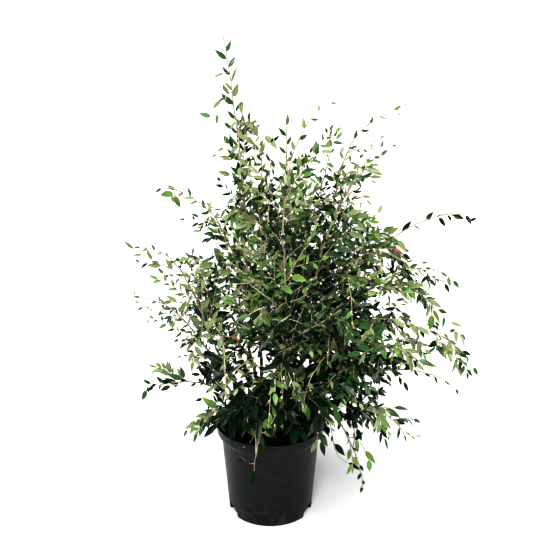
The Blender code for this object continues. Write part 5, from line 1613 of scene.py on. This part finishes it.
def light_world(settings):
    """White all round, at full strength behind the plant and dimmer as light on it."""
    world = bpy.data.worlds.new("studio")
    world.use_nodes = True
    tree = world.node_tree
    background = tree.nodes["Background"]
    background.inputs["Color"].default_value = (1.0, 1.0, 1.0, 1.0)
    seen = tree.nodes.new("ShaderNodeLightPath").outputs["Is Camera Ray"]
    strength = tree.nodes.new("ShaderNodeMath")
    strength.operation = "MULTIPLY_ADD"
    tree.links.new(seen, strength.inputs[0])
    strength.inputs[1].default_value = 1.0 - settings.ambient
    strength.inputs[2].default_value = settings.ambient
    tree.links.new(strength.outputs[0], background.inputs["Strength"])
    bpy.context.scene.world = world


# --------------------------------------------------------------- settings

def colour_setting(name, text, default):
    """A linear colour of the panel."""
    return FloatVectorProperty(name=name, description=text, default=default, subtype="COLOR", min=0, max=1)


def number_setting(name, text, default, **options):
    """A number of the panel, with its limits where it has any."""
    return FloatProperty(name=name, description=text, default=default, **options)


def length_setting(name, text, default):
    """A length of the panel, in metres."""
    return number_setting(name, text, default, unit="LENGTH")


class CamelliaPotSettings(bpy.types.PropertyGroup):
    wall: length_setting("Wall", "Thickness of the pot's wall", 0.003)
    colour: colour_setting("Plastic", "Colour of the plastic", (0.0068, 0.0068, 0.0070))
    dust: colour_setting("Dust", "Colour of the dust on it", (0.034, 0.034, 0.033))
    roughness: number_setting("Roughness", "How matt the plastic is", 0.36, subtype="FACTOR", min=0, max=1)


class CamelliaCompostSettings(bpy.types.PropertyGroup):
    colour: colour_setting("Compost", "Colour of the damp compost", (0.011, 0.008, 0.006))
    chip_colour: colour_setting("Chips", "Colour of the paler bark chips", (0.050, 0.032, 0.021))
    chip_size: length_setting("Chip size", "Half the length of the largest chips", 0.0058)
    chips: IntProperty(name="Chips", description="How many chips lie on the compost", default=900, min=1)


class CamelliaBarkSettings(bpy.types.PropertyGroup):
    colour: colour_setting("Bark", "Colour of the stems' bark", (0.170, 0.120, 0.080))
    twig_colour: colour_setting("Twigs", "Colour of the thin twigs", (0.38, 0.32, 0.225))
    relief: number_setting("Relief", "Height of the bark's ridges, as a share of the radius", 0.07,
                           subtype="FACTOR", min=0, max=0.3)


class CamelliaFoliageSettings(bpy.types.PropertyGroup):
    leaf_length: length_setting("Leaf", "Length of a leaf of middle size", 0.0385)
    leaf_spacing: length_setting("Leaf spacing", "Between leaves along a twig", 0.0145)
    density: number_setting("Density", "How many twigs grow, against the usual number", 1.0,
                            subtype="FACTOR", min=0.05, max=3)
    # The deep tint is partly painted shade, given most to leaves deep and low in the crown.
    deep: colour_setting("Deep", "The darkest leaves", (0.004, 0.014, 0.005))
    dark: colour_setting("Dark", "Grown leaves", (0.009, 0.029, 0.011))
    green: colour_setting("Green", "Leaves of middle age", (0.040, 0.082, 0.030))
    pale: colour_setting("Pale", "Young leaves", (0.150, 0.188, 0.092))
    fresh: colour_setting("Fresh", "The newest leaves", (0.118, 0.195, 0.058))
    rust: colour_setting("Rust", "The few turned leaves", (0.17, 0.055, 0.030))
    underside: colour_setting("Underside", "The backs of the leaves", (0.034, 0.066, 0.020))


class CamelliaBudSettings(bpy.types.PropertyGroup):
    bud_length: length_setting("Bud", "Length of a flower bud", 0.0078)
    cream: colour_setting("Cream", "Colour of most buds", (0.52, 0.48, 0.30))
    pink: colour_setting("Pink", "Colour of the ripest buds", (0.52, 0.36, 0.27))


class CamelliaStageSettings(bpy.types.PropertyGroup):
    floor_size: length_setting("Floor", "Side of the floor", 24.0)
    floor_colour: colour_setting("Floor colour", "Paint of the floor", (0.72, 0.72, 0.72))
    ambient: number_setting("Ambient", "Strength of the white surroundings", 0.12)
    key: number_setting("Key light", "Strength of the main light", 3.6)
    fill: number_setting("Fill light", "Strength of the second light", 1.5)
    rim_left: number_setting("Left rim light", "Strength of the one from behind, left", 0.16)
    rim_right: number_setting("Right rim light", "Strength of the one from behind, right", 0.80)
    lens: number_setting("Lens", "Focal length on a 36 mm sensor, in millimetres", 72.07)
    camera_place: FloatVectorProperty(name="Camera", description="Where the camera stands",
                                      default=(0.0155, -2.5, 1.6), subtype="XYZ", unit="LENGTH")
    camera_pitch: number_setting("Pitch", "Degrees that the camera looks down", 21.04)


# --------------------------------------------------------------- operators

class CAMELLIA_OT_pot(bpy.types.Operator):
    """Make the round plastic pot"""
    bl_idname = "camellia.make_pot"
    bl_label = "Make Pot"

    def execute(self, context):
        build_pot(context.scene.camellia_pot)
        return {"FINISHED"}


class CAMELLIA_OT_compost(bpy.types.Operator):
    """Fill the pot with compost and its chips"""
    bl_idname = "camellia.make_compost"
    bl_label = "Make Compost"

    def execute(self, context):
        build_compost(context.scene.camellia_compost)
        build_chips(context.scene.camellia_compost)
        return {"FINISHED"}


class CAMELLIA_OT_limbs(bpy.types.Operator):
    """Make the stems and boughs, with their bark's relief"""
    bl_idname = "camellia.make_limbs"
    bl_label = "Make Stems and Boughs"

    def execute(self, context):
        build_stems(context.scene.camellia_bark)
        build_boughs(context.scene.camellia_bark)
        return {"FINISHED"}


class CAMELLIA_OT_twigs(bpy.types.Operator):
    """Grow the shoots and twigs of each side of the crown"""
    bl_idname = "camellia.make_twigs"
    bl_label = "Make Twigs"

    def execute(self, context):
        crown = crown_of(context)
        colour = context.scene.camellia_bark.twig_colour
        # The front side's twigs take the paler copy, painted light; dark masses' twigs the darker one,
        # partly painted shade.
        shoot, twig, painted_shade_old_twig, painted_light_twig = [
            bark(name, colour) for name in ("shoot_bark", "twig_bark", "old_twig_bark", "straw_bark")]
        for side in SIDES:
            build_twigs(side, crown, [shoot, painted_light_twig if side == "front" else twig, painted_shade_old_twig])
        return {"FINISHED"}


class CAMELLIA_OT_leaves(bpy.types.Operator):
    """Grow the leaves of each side of the crown"""
    bl_idname = "camellia.make_leaves"
    bl_label = "Make Leaves"

    def execute(self, context):
        crown = crown_of(context)
        foliage = context.scene.camellia_foliage
        surfaces = [leaf_surface("leaf_" + tint, tuple(getattr(foliage, tint)), gloss)
                    for tint, gloss in zip(TINTS, TINT_GLOSS)]
        surfaces.append(leaf_surface("leaf_underside", tuple(foliage.underside), UNDERSIDE_GLOSS))
        young = scaled(foliage.underside, YOUNG_UNDERSIDE)
        surfaces.append(leaf_surface("leaf_underside_young", young, UNDERSIDE_GLOSS))
        for side in SIDES:
            build_leaves(side, crown, surfaces)
        return {"FINISHED"}


class CAMELLIA_OT_buds(bpy.types.Operator):
    """Grow the flower buds"""
    bl_idname = "camellia.make_buds"
    bl_label = "Make Flower Buds"

    def execute(self, context):
        build_buds(context.scene.camellia_buds, crown_of(context))
        return {"FINISHED"}


class CAMELLIA_OT_stage(bpy.types.Operator):
    """Set up the floor, the soft studio light and the camera"""
    bl_idname = "camellia.make_stage"
    bl_label = "Make Stage"

    def execute(self, context):
        settings = context.scene.camellia_stage
        build_floor(settings)
        light_world(settings)
        add_light("key_light", -100, 74, settings.key, 60)
        add_light("fill_light", -95, 40, settings.fill, 20)
        add_light("rim_light_left", 152, 24, settings.rim_left, 35)
        add_light("rim_light_right", 26, 22, settings.rim_right, 30)
        add_camera(settings)
        context.scene.view_settings.view_transform = "Standard"
        context.scene.view_settings.look = "Very High Contrast"
        return {"FINISHED"}


class CAMELLIA_PT_panel(bpy.types.Panel):
    """The steps that build the plant, in order"""
    bl_idname = "CAMELLIA_PT_panel"
    bl_label = "Potted Camellia"
    bl_space_type = "VIEW_3D"
    bl_region_type = "UI"
    bl_category = "Camellia"

    def draw(self, context):
        for operator in OPERATORS:
            self.layout.operator(operator.bl_idname)
        for name, group in SETTINGS.items():
            box = self.layout.box()
            for prop in group.__annotations__:
                box.prop(getattr(context.scene, name), prop)


SETTINGS = {
    "camellia_pot": CamelliaPotSettings,
    "camellia_compost": CamelliaCompostSettings,
    "camellia_bark": CamelliaBarkSettings,
    "camellia_foliage": CamelliaFoliageSettings,
    "camellia_buds": CamelliaBudSettings,
    "camellia_stage": CamelliaStageSettings,
}

OPERATORS = (CAMELLIA_OT_pot, CAMELLIA_OT_compost, CAMELLIA_OT_limbs, CAMELLIA_OT_twigs,
             CAMELLIA_OT_leaves, CAMELLIA_OT_buds, CAMELLIA_OT_stage)

CLASSES = (*SETTINGS.values(), *OPERATORS, CAMELLIA_PT_panel)


def register():
    for cls in CLASSES:
        bpy.utils.register_class(cls)
    for name, group in SETTINGS.items():
        setattr(bpy.types.Scene, name, PointerProperty(type=group))


def unregister():
    for name in SETTINGS:
        delattr(bpy.types.Scene, name)
    for cls in reversed(CLASSES):
        bpy.utils.unregister_class(cls)


def main():
    register()
    bpy.ops.camellia.make_pot()
    bpy.ops.camellia.make_compost()
    bpy.ops.camellia.make_limbs()
    bpy.ops.camellia.make_twigs()
    bpy.ops.camellia.make_leaves()
    bpy.ops.camellia.make_buds()
    bpy.ops.camellia.make_stage()


if __name__ == "__main__":
    main()
